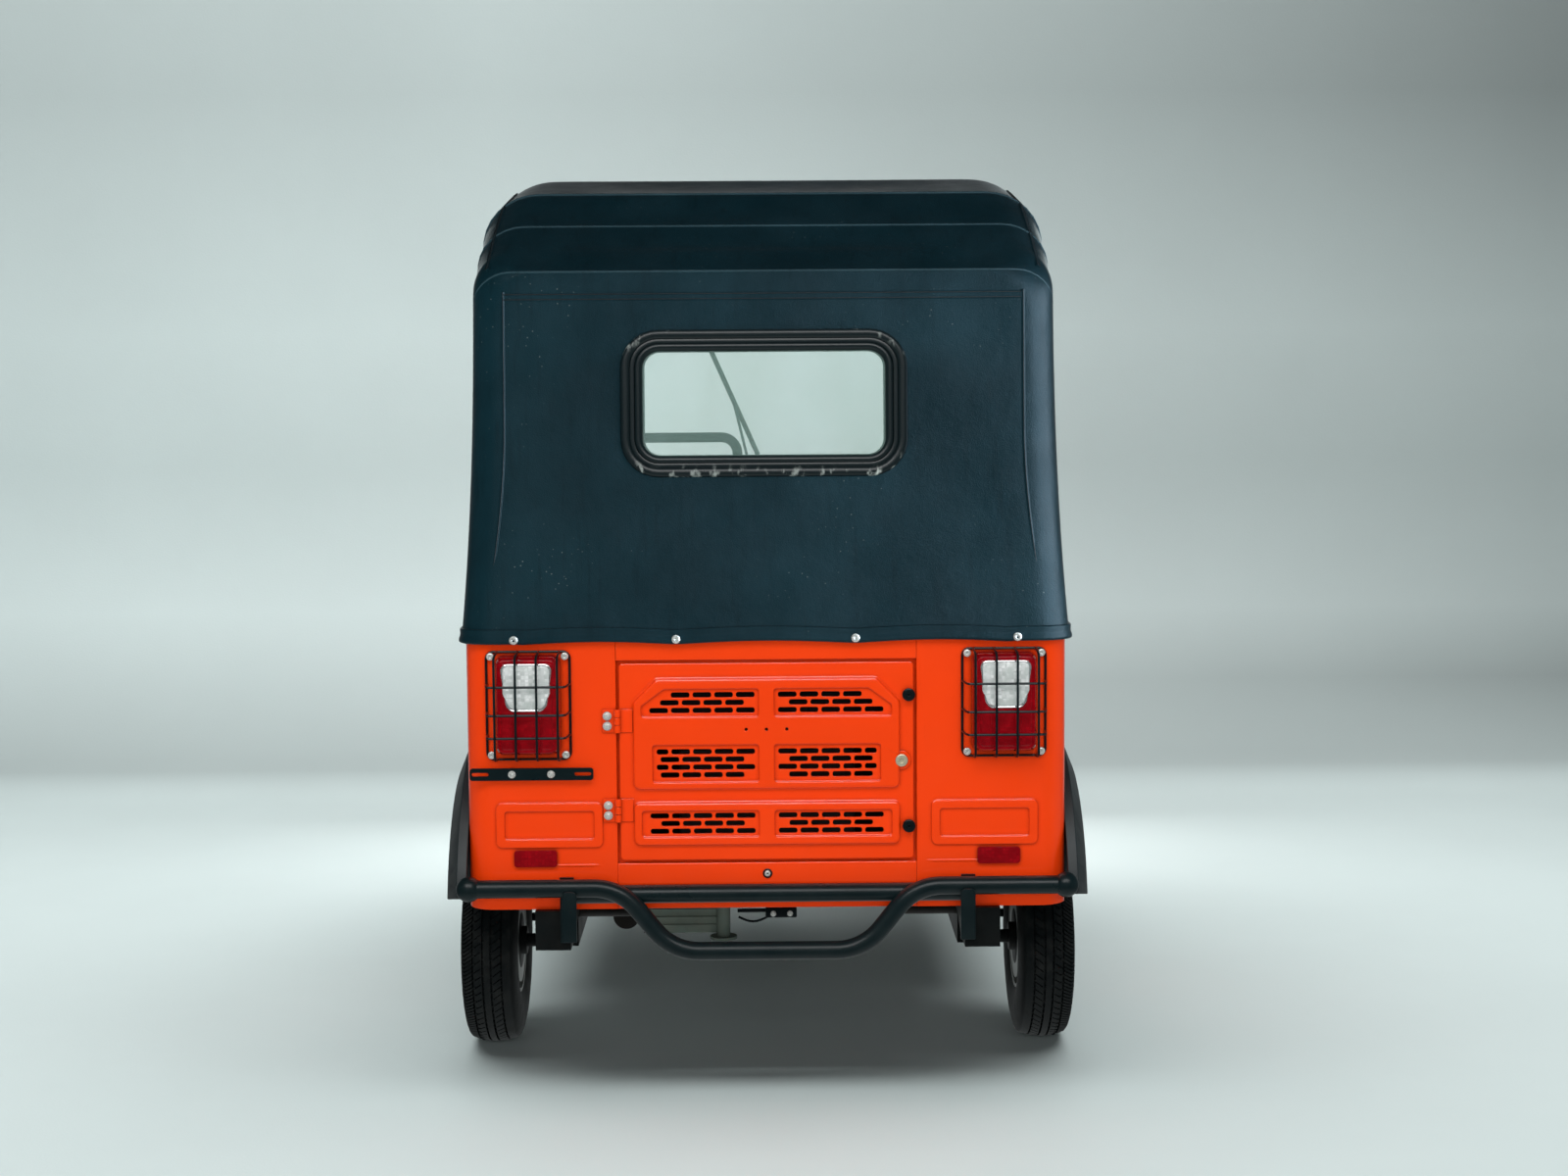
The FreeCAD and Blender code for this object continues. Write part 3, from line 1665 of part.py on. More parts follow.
def driver_cushion():
    low = driver_seat_z + seat_gap
    outline = [
        (driver_seat_front_y - cushion_front_over, low),
        (driver_seat_front_y - cushion_front_over, low + driver_cushion_height),
        (driver_seat_rear_y, low + driver_cushion_height),
        (driver_seat_rear_y, low),
    ]
    bends = [0, cushion_round, cushion_round, 0]
    return prism_x(outline, -driver_seat_half, driver_seat_half, bends)


def driver_backrest():
    back = partition_y - partition_thick / 2 - seat_gap
    outline = [
        (back - driver_back_thick, driver_back_low_z),
        (back - driver_back_thick, driver_back_high_z),
        (back, driver_back_high_z),
        (back, driver_back_low_z),
    ]
    bends = [cushion_round, cushion_round, 0, 0]
    return prism_x(outline, -driver_seat_half, driver_seat_half, bends)


def partition(frame):
    t = partition_thick / 2
    half = partition_half
    outline = [
        (-half, floor_top_z),
        (half, floor_top_z),
        (half, partition_top_z),
        (-half, partition_top_z),
    ]
    sheet = prism_y(outline, partition_y - t, partition_y + t)
    back = plate(
        0,
        (driver_back_high_z + partition_top_z) / 2,
        2 * driver_seat_half,
        driver_back_high_z - partition_top_z + 2 * cut_over,
        cut_over,
        partition_y - t,
        partition_y + t,
    )
    bar = round_bar(
        [
            V(rail_post_x, partition_y, driver_back_high_z + cut_over),
            V(rail_post_x, partition_y, rail_bar_z),
            V(partition_half, partition_y, rail_bar_z),
        ],
        frame_tube_radius,
        cut_over,
    )
    return fused([sheet, back, bar]).cut(frame)


# Drive and rear suspension


def engine_block():
    return box(
        -engine_half_width,
        engine_half_width,
        engine_front_y,
        engine_rear_y,
        body_bottom_z,
        engine_top_z,
    )


def drive_casting():
    low_y = rear_axle_y - casting_length / 2
    high_y = rear_axle_y + casting_length / 2
    body = box(casting_low_x, casting_high_x, low_y, high_y, casting_low_z, body_bottom_z)
    pitch = (body_bottom_z - casting_low_z) / (casting_fin_count + 1)
    pieces = [body]
    for i in range(casting_fin_count):
        z = casting_low_z + (i + 1) * pitch
        pieces.append(
            box(
                casting_low_x,
                casting_high_x + casting_fin_height,
                low_y - casting_fin_height,
                high_y + casting_fin_height,
                z - casting_fin_height / 2,
                z + casting_fin_height / 2,
            )
        )
    post_y = high_y + post_radius / 2
    pieces.append(rod(V(post_x, post_y, post_low_z), V(post_x, post_y, body_bottom_z), post_radius))
    pieces.append(
        rod(V(post_x, post_y, post_low_z), V(post_x, post_y, post_low_z + panel_thick), post_foot_radius)
    )
    return fused(pieces)


def trailing_arm():
    half = arm_width / 2
    outline = [
        (arm_pivot_y + arm_pivot_radius, arm_low_z + panel_thick),
        (arm_tail_y, arm_low_z),
        (arm_tail_y, arm_high_z - 2 * panel_thick),
        (arm_pivot_y + arm_pivot_radius, arm_high_z),
    ]
    beam = prism_x(outline, arm_center_x - half, arm_center_x + half)
    pivot_z = (arm_low_z + arm_high_z) / 2
    eye = rod(
        V(arm_center_x - half, arm_pivot_y, pivot_z),
        V(arm_center_x + half, arm_pivot_y, pivot_z),
        arm_pivot_radius + panel_thick,
    )
    spindle = rod(
        V(arm_center_x + half, rear_axle_y, tyre_radius),
        V(rear_track / 2 + hub_half_width + seat_gap, rear_axle_y, tyre_radius),
        spindle_radius,
    )
    return fused([beam, eye, spindle])


def shock_absorber():
    """Spring leg beside the wheel, from a pin on the arm up to the housing wall."""
    foot = V(shock_x, shock_y, arm_high_z - 2 * shock_radius)
    top = V(shock_x, shock_y, shock_top_z)
    core = rod(foot, top, shock_core_radius)
    low = V(shock_x, shock_y, arm_high_z + shock_core_radius)
    high = V(shock_x, shock_y, shock_top_z - shock_spring_inset)
    pin = rod(
        V(arm_center_x + arm_width / 2, shock_y, foot.z),
        V(shock_x + shock_radius, shock_y, foot.z),
        shock_core_radius,
    )
    hanger = box(
        housing_inner_x + housing_thick + seat_gap,
        shock_x,
        shock_y - shock_core_radius,
        shock_y + shock_core_radius,
        shock_top_z - shock_radius,
        shock_top_z,
    )
    return fused([core, rod(low, high, shock_radius), pin, hanger])


def half_shaft():
    return rod(
        V(casting_high_x + casting_fin_height, rear_axle_y, arm_high_z - shaft_radius),
        V(arm_center_x - arm_width / 2, rear_axle_y, arm_high_z - shaft_radius),
        shaft_radius,
    )


def silencer():
    barrel = rod(
        V(silencer_x, silencer_front_y, silencer_z),
        V(silencer_x, silencer_rear_y, silencer_z),
        silencer_radius,
    )
    hanger = box(
        silencer_x - panel_thick,
        silencer_x + panel_thick,
        cross_members_y[2] + cross_member_width / 2,
        cross_members_y[2] + 2 * cross_member_width,
        silencer_z,
        body_bottom_z - rail_height,
    )
    return barrel.fuse(hanger)


def build():
    frame = chassis_frame()
    fork_shape = fork()
    cowl_body = cowl_solid(0, 0)
    cowl = front_cowl()
    screen_frame = windscreen_frame(cowl_body)
    cab = cab_frame(screen_frame)
    nodes = {
        "chassis_frame": frame,
        "floor_pan": floor_pan(frame, cowl),
        "front_cowl": cowl,
        "windscreen_frame": screen_frame,
        "windscreen_glass": windscreen_glass(),
        "windscreen_wiper": windscreen_wiper(),
        "dash_panel": dash_panel(),
        "headlamps": headlamps(cowl_body),
        "front_indicators": front_indicators(cowl_body),
        "quarter_panel_left": quarter_panel(),
        "quarter_panel_right": mirrored(quarter_panel()),
        "rear_centre_panel": rear_centre_panel(),
        "engine_door": engine_door(),
        "door_lock": door_lock(),
        "door_buffers": door_buffers(),
        "door_hinges": door_hinges(),
        "tail_lamps": Part.makeCompound(both_sides(tail_lamp())),
        "lamp_guards": Part.makeCompound(both_sides(lamp_guard())),
        "reflectors": Part.makeCompound(both_sides(reflector())),
        "plate_bracket": plate_bracket(),
        "rear_bumper": rear_bumper(),
        "fender_flares": Part.makeCompound(both_sides(fender_flare())),
        "wheel_housings": Part.makeCompound(both_sides(wheel_housing())),
        "canopy": canopy(),
        "cab_frame": cab,
        "rear_window_seal": window_seal_ring(),
        "rear_window_glass": rear_window_glass(),
        "seat_base": seat_base(),
        "passenger_cushion": passenger_cushion(),
        "passenger_backrest": passenger_backrest(),
        "driver_seat_base": driver_seat_base(),
        "driver_cushion": driver_cushion(),
        "driver_backrest": driver_backrest(),
        "partition": partition(cab),
        "engine_block": engine_block(),
        "drive_casting": drive_casting(),
        "silencer": silencer(),
        "trailing_arms": Part.makeCompound(both_sides(trailing_arm())),
        "shock_absorbers": Part.makeCompound(both_sides(shock_absorber())),
        "half_shafts": Part.makeCompound(both_sides(half_shaft())),
        "steering_fork": fork_shape,
        "front_mudguard": front_mudguard(fork_shape),
        "handlebar": handlebar(fork_shape),
        "handlebar_grips": grips(),
        "front_rim": rim(0, front_axle_y, axle_radius + hinge_play, -1),
        "front_tyre": tyre(0, front_axle_y),
        "mirrors": Part.makeCompound(both_sides(mirror(screen_frame))),
    }
    for side, word in ((1, "left"), (-1, "right")):
        x = side * rear_track / 2
        nodes["rear_rim_" + word] = rim(x, rear_axle_y, spindle_radius + hinge_play, -side)
        nodes["rear_tyre_" + word] = tyre(x, rear_axle_y)
    return nodes


os.makedirs("parts", exist_ok=True)
for node_name, node_shape in build().items():
    node_shape.exportStep("parts/" + node_name + ".step")
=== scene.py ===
"""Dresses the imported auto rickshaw: soft top, paint, glass, lamps, tyres, seats and fittings.

Laid out as an add-on and run as a script. The frame is loaded at the top, each group of
pieces has its own operator, and main() calls them in order.
"""

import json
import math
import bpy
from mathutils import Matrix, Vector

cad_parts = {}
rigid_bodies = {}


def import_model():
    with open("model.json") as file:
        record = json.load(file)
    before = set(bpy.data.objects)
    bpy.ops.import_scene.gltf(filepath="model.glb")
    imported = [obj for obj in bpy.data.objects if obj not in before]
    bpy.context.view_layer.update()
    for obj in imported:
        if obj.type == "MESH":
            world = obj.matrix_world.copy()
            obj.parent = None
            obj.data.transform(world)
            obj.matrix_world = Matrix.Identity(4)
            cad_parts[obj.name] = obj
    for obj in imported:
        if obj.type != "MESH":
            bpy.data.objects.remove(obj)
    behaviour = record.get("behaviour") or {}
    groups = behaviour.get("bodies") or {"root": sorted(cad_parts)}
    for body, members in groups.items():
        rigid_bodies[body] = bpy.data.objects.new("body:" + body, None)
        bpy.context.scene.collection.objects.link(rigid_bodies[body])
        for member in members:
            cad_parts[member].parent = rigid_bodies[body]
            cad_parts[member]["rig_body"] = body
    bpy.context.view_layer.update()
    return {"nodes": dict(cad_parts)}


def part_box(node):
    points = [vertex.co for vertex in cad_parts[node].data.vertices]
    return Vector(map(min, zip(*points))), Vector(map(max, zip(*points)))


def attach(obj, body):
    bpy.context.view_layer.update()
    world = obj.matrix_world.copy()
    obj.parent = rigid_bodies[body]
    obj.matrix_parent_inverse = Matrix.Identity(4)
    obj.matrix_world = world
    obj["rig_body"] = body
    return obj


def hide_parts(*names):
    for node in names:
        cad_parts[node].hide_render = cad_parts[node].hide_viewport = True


bl_info = {
    "name": "Auto Rickshaw",
    "version": (1, 0, 0),
    "blender": (4, 5, 0),
    "location": "3D View > Sidebar > Rickshaw",
    "description": "Builds the looks of an auto rickshaw round its packed CAD frame",
    "category": "Object",
}

import bmesh
import bpy
from mathutils import Matrix, Vector

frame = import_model()

MM = 0.001
# faces that meet at less than these angles are shaded as one
SHARP = math.radians(35)
SOFT = math.radians(60)
BACK = Vector((0, 1, 0))
UP = Vector((0, 0, 1))
# large smooth pieces whose edges are rounded in three steps
FINE_EDGES = ("front_cowl", "fender_flares", "windscreen_frame")
# the pressed rear wall, and how far the hood's rear leans forward over its height
REAR_PLANE = 1.265
WALL_LEAN = 0.066
WINDOW_Z = 1.347
LAMP_X, GUARD_Z, CLEAR_LENS_Z = 0.468, 0.757, 0.797
REAR_AXLE_Y, AXLE_Z = 0.935, 0.210
WHEELS = (
    # tyre, its body, its middle along X and Y, and the side that the nuts are on
    ("front_tyre", "front_wheel", 0.0, -1.055, 1),
    ("rear_tyre_left", "rear_wheel_left", 0.575, REAR_AXLE_Y, 1),
    ("rear_tyre_right", "rear_wheel_right", -0.575, REAR_AXLE_Y, -1),
)


# Small tools


def linear(code):
    """Linear colour with alpha, from an sRGB hex code."""
    parts = [int(code[i : i + 2], 16) / 255 for i in (1, 3, 5)]
    return tuple(p / 12.92 if p <= 0.04045 else ((p + 0.055) / 1.055) ** 2.4 for p in parts) + (1.0,)


def add_node(tree, kind, settings=None, values=None):
    """Adds one node; a value that is an output socket is linked, any other is set."""
    node = tree.nodes.new(kind)
    for name, value in (settings or {}).items():
        setattr(node, name, value)
    for name, value in (values or {}).items():
        if isinstance(value, bpy.types.NodeSocket):
            tree.links.new(value, node.inputs[name])
        else:
            node.inputs[name].default_value = value
    return node


def start_material(name, colour, roughness, metallic=0.0):
    """A material with its shader set, and the piece's own coordinates in metres."""
    material = bpy.data.materials.new(name)
    material.use_nodes = True
    tree = material.node_tree
    shader = tree.nodes["Principled BSDF"]
    shader.inputs["Base Color"].default_value = colour
    shader.inputs["Roughness"].default_value = roughness
    shader.inputs["Metallic"].default_value = metallic
    material.diffuse_color = colour
    place = add_node(tree, "ShaderNodeTexCoord").outputs["Object"]
    return material, tree, shader, place


def noise(tree, place, size, detail=3.0, stretch=None):
    """Soft noise whose lumps are about size metres across; stretch squeezes it along each axis."""
    if stretch:
        place = add_node(tree, "ShaderNodeMapping", None, {"Vector": place, "Scale": stretch}).outputs[0]
    values = {"Vector": place, "Scale": 1 / size, "Detail": detail, "Roughness": 0.55}
    return add_node(tree, "ShaderNodeTexNoise", None, values).outputs[0]


def spread(tree, value, low, high, to_low=0.0, to_high=1.0):
    """Maps a value from one range to another, held at both ends."""
    values = {"Value": value, 1: low, 2: high, 3: to_low, 4: to_high}
    return add_node(tree, "ShaderNodeMapRange", None, values).outputs[0]


def mixed(tree, share, first, second):
    """Colour between two others."""
    values = {0: share, 6: first, 7: second}
    return add_node(tree, "ShaderNodeMix", {"data_type": "RGBA"}, values).outputs[2]


def times(tree, first, second, operation="MULTIPLY"):
    """Two values multiplied, or joined by another sum."""
    return add_node(tree, "ShaderNodeMath", {"operation": operation}, {0: first, 1: second}).outputs[0]


def raise_relief(tree, shader, height, depth, strength=1.0, under=None):
    """Relief of a real depth in metres, on top of any relief under it."""
    values = {"Height": height, "Distance": depth, "Strength": strength}
    if under is not None:
        values["Normal"] = under
    normal = add_node(tree, "ShaderNodeBump", None, values).outputs[0]
    tree.links.new(normal, shader.inputs["Normal"])
    return normal


def shade_of(colour, share):
    """The same colour, lighter or darker by a share."""
    return tuple(min(1.0, c * (1 + share)) for c in colour[:3]) + (1.0,)


def weathered(
    name, colour, roughness, tone, grain, metallic=0.0, coat=0.0, dust=0.0, smears=0.1, press=None, shine=None
):
    """A finish with uneven tone, smeared gloss, fine relief, and road dust low on the vehicle.

    tone is (lump size, share of change), and grain is (lump size, depth), all in metres.
    """
    material, tree, shader, place = start_material(name, colour, roughness, metallic)
    lumps = spread(tree, noise(tree, place, tone[0]), 0.3, 0.7)
    base = mixed(tree, lumps, shade_of(colour, -tone[1]), shade_of(colour, tone[1]))
    gloss = spread(tree, noise(tree, place, 0.09, 5.0), 0.3, 0.75, roughness - smears / 2, roughness + smears)
    if dust:
        height = add_node(tree, "ShaderNodeSeparateXYZ", None, {"Vector": place}).outputs[2]
        low = spread(tree, height, 0.1, 0.75, dust, dust * 0.12)
        film = times(tree, low, spread(tree, noise(tree, place, 0.05, 6.0), 0.35, 0.7, 0.25, 1.0))
        base = mixed(tree, film, base, linear("#8D8272"))
        gloss = times(tree, gloss, times(tree, film, 0.4), "ADD")
    if press:
        # painted shade: ambient occlusion darkens the colour where two surfaces meet, in gaps, creases and at the
        # feet of bolts
        occlusion_shade = add_node(tree, "ShaderNodeAmbientOcclusion", {"samples": 6}, {"Distance": 0.009}).outputs["AO"]
        base = mixed(tree, spread(tree, occlusion_shade, 0.35, 0.92, 0.62, 0.0), base, shade_of(colour, -0.85))
    tree.links.new(base, shader.inputs["Base Color"])
    tree.links.new(gloss, shader.inputs["Roughness"])
    if shine is not None:
        shader.inputs["Specular IOR Level"].default_value = shine
    if coat:
        # the gloss is in the clear top layer, and the colour under it is dull
        shader.inputs["Specular IOR Level"].default_value = 0.08
        shader.inputs["Coat Weight"].default_value = coat
        shader.inputs["Coat Roughness"].default_value = 0.07
    under = None
    if press:
        # pressed edges turn over the bend radius of the sheet, and catch a pale line of light
        under = add_node(tree, "ShaderNodeBevel", {"samples": 6}, {"Radius": press}).outputs[0]
    raise_relief(tree, shader, noise(tree, place, grain[0], 2.0), grain[1], 1.0, under)
    return material


# Materials


def canvas_material(name, colour):
    """PVC-coated canvas, calendered: a soft sheen, a fine pebble, and pale dust specks on top."""
    material, tree, shader, place = start_material(name, colour, 0.42)
    stains = spread(tree, noise(tree, place, 0.22, 6.0), 0.35, 0.7)
    base = mixed(tree, stains, shade_of(colour, -0.22), shade_of(colour, 0.25))
    # drip marks run down the slope: squeezed sideways, long downwards
    drips = noise(tree, place, 0.014, 3.0, (1.0, 0.35, 0.10))
    base = mixed(tree, spread(tree, drips, 0.55, 0.8, 0.0, 0.45), base, shade_of(colour, -0.6))
    # dust specks are about 1 mm and are drawn 3 mm so that they show
    cells = add_node(tree, "ShaderNodeTexVoronoi", None, {"Vector": place, "Scale": 1 / 0.014}).outputs[0]
    speck = times(tree, spread(tree, cells, 0.05, 0.11, 1.0, 0.0), spread(tree, stains, 0.45, 0.9))
    base = mixed(tree, times(tree, speck, 0.35), base, linear("#A9B5B2"))
    tree.links.new(base, shader.inputs["Base Color"])
    gloss = spread(tree, noise(tree, place, 0.12, 4.0), 0.3, 0.7, 0.34, 0.5)
    tree.links.new(gloss, shader.inputs["Roughness"])
    shader.inputs["Specular IOR Level"].default_value = 0.16
    shader.inputs["Sheen Weight"].default_value = 0.06
    shader.inputs["Sheen Roughness"].default_value = 0.3
    # the pebble is 1 mm across and is drawn 2.5 mm
    pebble = add_node(tree, "ShaderNodeTexVoronoi", None, {"Vector": place, "Scale": 1 / 0.0025}).outputs[0]
    first = raise_relief(tree, shader, pebble, 0.00025)
    raise_relief(tree, shader, noise(tree, place, 0.05, 3.0), 0.0022, 0.8, first)
    return material


def leatherette_material(name, colour):
    """Seat leatherette, embossed: a dull satin skin with pores and rubbed, glossier patches."""
    material, tree, shader, place = start_material(name, colour, 0.5)
    rubbed = spread(tree, noise(tree, place, 0.16, 4.0), 0.35, 0.7)
    base = mixed(tree, rubbed, shade_of(colour, -0.18), shade_of(colour, 0.22))
    tree.links.new(base, shader.inputs["Base Color"])
    tree.links.new(spread(tree, rubbed, 0.0, 1.0, 0.58, 0.38), shader.inputs["Roughness"])
    # leather pores are about 1 mm and are drawn 2 mm
    pores = {"Vector": place, "Scale": 1 / 0.0022, "Randomness": 0.9}
    grain = add_node(tree, "ShaderNodeTexVoronoi", {"feature": "DISTANCE_TO_EDGE"}, pores).outputs[0]
    creases = raise_relief(tree, shader, noise(tree, place, 0.03, 5.0), 0.0012)
    raise_relief(tree, shader, spread(tree, grain, 0.0, 0.25), 0.0003, 1.0, creases)
    return material


def tyre_material(name, colour):
    """Tyre rubber, moulded: matt black that greys with road dust in the tread."""
    material, tree, shader, place = start_material(name, colour, 0.72)
    shader.inputs["Specular IOR Level"].default_value = 0.3
    dust = spread(tree, noise(tree, place, 0.03, 6.0), 0.45, 0.75, 0.0, 0.2)
    base = mixed(tree, dust, colour, linear("#3B3A36"))
    tree.links.new(base, shader.inputs["Base Color"])
    tree.links.new(spread(tree, dust, 0.0, 0.45, 0.6, 0.9), shader.inputs["Roughness"])
    raise_relief(tree, shader, noise(tree, place, 0.004, 3.0), 0.0004)
    return material


def glass_material(name, colour, haze=0.1):
    """Toughened glass, polished: clear, with a pale green haze of wiped dust and hard reflections."""
    material, tree, shader, place = start_material(name, colour, 0.02)
    streaks = spread(tree, noise(tree, place, 0.1, 5.0, (1.0, 1.0, 0.3)), 0.35, 0.75)
    base = mixed(tree, streaks, shade_of(colour, -0.25), shade_of(colour, 0.1))
    tree.links.new(base, shader.inputs["Base Color"])
    shader.inputs["Alpha"].default_value = haze
    return material


def seal_material(name, colour):
    """EPDM rubber round the window: a low sheen, pale chalky marks in the corners that are partly dirt and partly
    painted highlight, and chalky dirt along the foot.
    """
    material, tree, shader, place = start_material(name, colour, 0.36)
    axes = add_node(tree, "ShaderNodeSeparateXYZ", None, {"Vector": place}).outputs
    across = times(tree, axes[0], 1 / 0.279)
    up = times(tree, times(tree, axes[2], -WINDOW_Z, "ADD"), 1 / 0.146)
    ring = times(tree, times(tree, across, across), times(tree, up, up), "ADD")
    corner = spread(tree, ring, 1.35, 1.6)
    foot = spread(tree, up, -0.95, -0.8, 0.7, 0.0)
    chalk_and_glint_breakup = spread(tree, noise(tree, place, 0.018, 4.0, (1.0, 1.0, 0.5)), 0.56, 0.66)
    # pale marks: in the corners partly chalky dirt and partly a painted highlight, along the foot chalky dirt
    chalk_and_glint = times(tree, chalk_and_glint_breakup, times(tree, corner, foot, "ADD"))
    tree.links.new(mixed(tree, times(tree, chalk_and_glint, 0.6), colour, linear("#C9D2CC")), shader.inputs["Base Color"])
    raise_relief(tree, shader, noise(tree, place, 0.002, 2.0), 0.00008)
    return material


def lens_material(name, colour, cell, depth, clear=0.0, contrast=0.35):
    """Lamp lens of moulded acrylic: glossy and deep, with pressed prisms behind the skin."""
    material, tree, shader, place = start_material(name, colour, 0.12)
    cells = {"Vector": place, "Scale": 1 / cell, "Randomness": 0.35}
    prism = add_node(tree, "ShaderNodeTexVoronoi", {"distance": "CHEBYCHEV"}, cells).outputs[0]
    lines = spread(tree, prism, 0.15, 0.65)
    base = mixed(tree, lines, shade_of(colour, contrast), shade_of(colour, -contrast))
    patches = spread(tree, noise(tree, place, 0.02, 4.0), 0.35, 0.65)
    base = mixed(tree, patches, base, shade_of(colour, -contrast * 0.8))
    tree.links.new(base, shader.inputs["Base Color"])
    shader.inputs["Transmission Weight"].default_value = clear
    shader.inputs["IOR"].default_value = 1.49
    shader.inputs["Coat Weight"].default_value = 0.6
    shader.inputs["Coat Roughness"].default_value = 0.03
    raise_relief(tree, shader, prism, depth)
    return material


def brushed_material(name, colour, roughness, scratch, metallic=1.0):
    """Bright metal, zinc or chrome plated: sharp reflections broken by fine scratches."""
    material, tree, shader, place = start_material(name, colour, roughness, metallic)
    lines = noise(tree, place, scratch, 2.0, (1.0, 1.0, 6.0))
    gloss = spread(tree, lines, 0.3, 0.7, roughness * 0.7, roughness * 1.6)
    tree.links.new(gloss, shader.inputs["Roughness"])
    spots = spread(tree, noise(tree, place, 0.006, 5.0), 0.6, 0.8, 0.0, 0.35)
    tree.links.new(mixed(tree, spots, colour, shade_of(colour, -0.5)), shader.inputs["Base Color"])
    raise_relief(tree, shader, lines, 0.00005)
    return material


def floor_material(name, colour):
    """Studio floor, painted and rolled: pale and satin, with painted shade: darker at the foot of the sweep,
    towards the right of the wall and high on the wall.
    """
    material, tree, shader, place = start_material(name, colour, 0.5)
    patches = spread(tree, noise(tree, place, 0.9, 4.0), 0.3, 0.7)
    base = mixed(tree, patches, shade_of(colour, -0.025), shade_of(colour, 0.02))
    axes = add_node(tree, "ShaderNodeSeparateXYZ", None, {"Vector": place}).outputs
    # painted shade: a darker band where the sweep leaves the floor, the wall darker towards the right, and darker
    # again high up
    foot = times(tree, spread(tree, axes[2], 0.0, 0.05), spread(tree, axes[2], 0.08, 0.55, 1.0, 0.0))
    right = spread(tree, axes[0], 1.0, -3.0)
    wall = times(tree, spread(tree, axes[2], 0.0, 0.3), spread(tree, right, 0.0, 1.0, 0.02, 0.5))
    high = times(tree, spread(tree, axes[2], 1.6, 2.5), 0.33)
    painted_shade = times(tree, times(tree, times(tree, foot, 0.36), wall, "ADD"), high, "ADD")
    tree.links.new(mixed(tree, painted_shade, base, shade_of(colour, -0.85)), shader.inputs["Base Color"])
    # the sweep is open from behind, so that the vehicle can be looked at from the front and from below
    behind = add_node(tree, "ShaderNodeNewGeometry").outputs["Backfacing"]
    tree.links.new(spread(tree, behind, 0.0, 1.0, 1.0, 0.0), shader.inputs["Alpha"])
    raise_relief(tree, shader, noise(tree, place, 0.006, 2.0), 0.0003)
    return material


def make_materials(colours):
    """Every finish on the vehicle, by its plain name."""
    return {
        # stoved enamel over pressed steel: a wet gloss with faint orange peel, 3 mm lumps
        "body_enamel": weathered(
            "stoved_enamel_orange", colours.body, 0.45, (0.35, 0.04), (0.004, 0.00006),
            coat=0.8, dust=0.03, smears=0.06, press=0.0032,
        ),
        # powder coat, baked: satin black with a fine orange skin, 1 mm drawn 2 mm
        "black_powder": weathered(
            "powder_coat_black", colours.black_steel, 0.3, (0.1, 0.15), (0.002, 0.0001), dust=0.02, shine=0.28
        ),
        # chassis paint, brushed on: duller and dustier than the powder coat
        "chassis_paint": weathered(
            "chassis_paint_black", linear("#060B0C"), 0.5, (0.06, 0.25), (0.004, 0.0003), dust=0.02, shine=0.2
        ),
        # polypropylene, moulded with a spark-eroded grain, 1 mm drawn 2 mm
        "black_plastic": weathered(
            "polypropylene_black", colours.flare, 0.48, (0.12, 0.1), (0.002, 0.0002), dust=0.07
        ),
        "black_gloss": weathered(
            "moulded_abs_black", linear("#0E1416"), 0.28, (0.1, 0.1), (0.003, 0.00005), coat=0.3
        ),
        # EPDM rubber, extruded: soft black with a low sheen
        "seal_rubber": weathered("epdm_rubber", linear("#0B1012"), 0.42, (0.05, 0.2), (0.002, 0.00008)),
        "rim_paint": weathered(
            "rim_enamel_silver", linear("#A3A8A6"), 0.34, (0.05, 0.08), (0.003, 0.0001), 0.55, dust=0.3
        ),
        # aluminium, sand cast and left raw: a grey-green skin with 1.5 mm sand grain drawn 2 mm
        "cast_metal": weathered(
            "cast_aluminium", linear("#66756D"), 0.6, (0.04, 0.18), (0.002, 0.0004), 0.45, dust=0.4
        ),
        # painted shade: the engine is near black so that the bay behind the door's slots reads as dark as the
        # shade inside it
        "engine_metal": weathered(
            "cast_engine_darkened_as_shade", linear("#16191A"), 0.5, (0.05, 0.2), (0.002, 0.0004), 0.2, dust=0.05
        ),
        "floor_paint": weathered(
            "floor_enamel_grey", linear("#353B3C"), 0.5, (0.09, 0.2), (0.003, 0.0002), dust=0.4
        ),
        "exhaust_steel": weathered(
            "heat_stained_steel", linear("#1C1A19"), 0.5, (0.04, 0.35), (0.003, 0.0003), 0.4, dust=0.06
        ),
        "plated": brushed_material("zinc_plated_steel", linear("#E2E4DF"), 0.24, 0.003, 0.55),
        "chrome": brushed_material("chrome_plated_steel", linear("#E3E6E6"), 0.08, 0.004, 0.8),
        "lock_brass": brushed_material("nickel_brass", linear("#D6CCB0"), 0.2, 0.002, 0.55),
        "window_seal": seal_material("epdm_window_rubber", linear("#0C181B")),
        "canvas": canvas_material("pvc_coated_canvas", colours.hood),
        # the same canvas made paler on the folds: partly rubbed wear, partly a painted highlight along each fold's
        # edge
        "canvas_fold": canvas_material("rubbed_and_highlit_canvas_fold", linear("#2B434B")),
        "thread": weathered("bonded_nylon_thread", linear("#03080A"), 0.6, (0.05, 0.1), (0.002, 0.0001)),
        "leatherette": leatherette_material("seat_leatherette", colours.seat),
        "tyre": tyre_material("tyre_rubber", linear("#070C0D")),
        "glass": glass_material("toughened_glass", linear("#D2FFF0")),
        "mirror": brushed_material("silvered_glass", linear("#DCE2E2"), 0.03, 0.01),
        "red_lens": lens_material("acrylic_red", colours.red_lens, 0.007, 0.0004),
        "clear_lens": lens_material("acrylic_clear", linear("#F4FCF8"), 0.0075, 0.002, 0.0, 0.62),
        "amber_lens": lens_material("acrylic_amber", linear("#E8730A"), 0.006, 0.0006),
        "head_lens": lens_material("pressed_lamp_glass", linear("#DDE4E2"), 0.012, 0.001, 0.4, 0.2),
    }


# Modelling by hand, in code


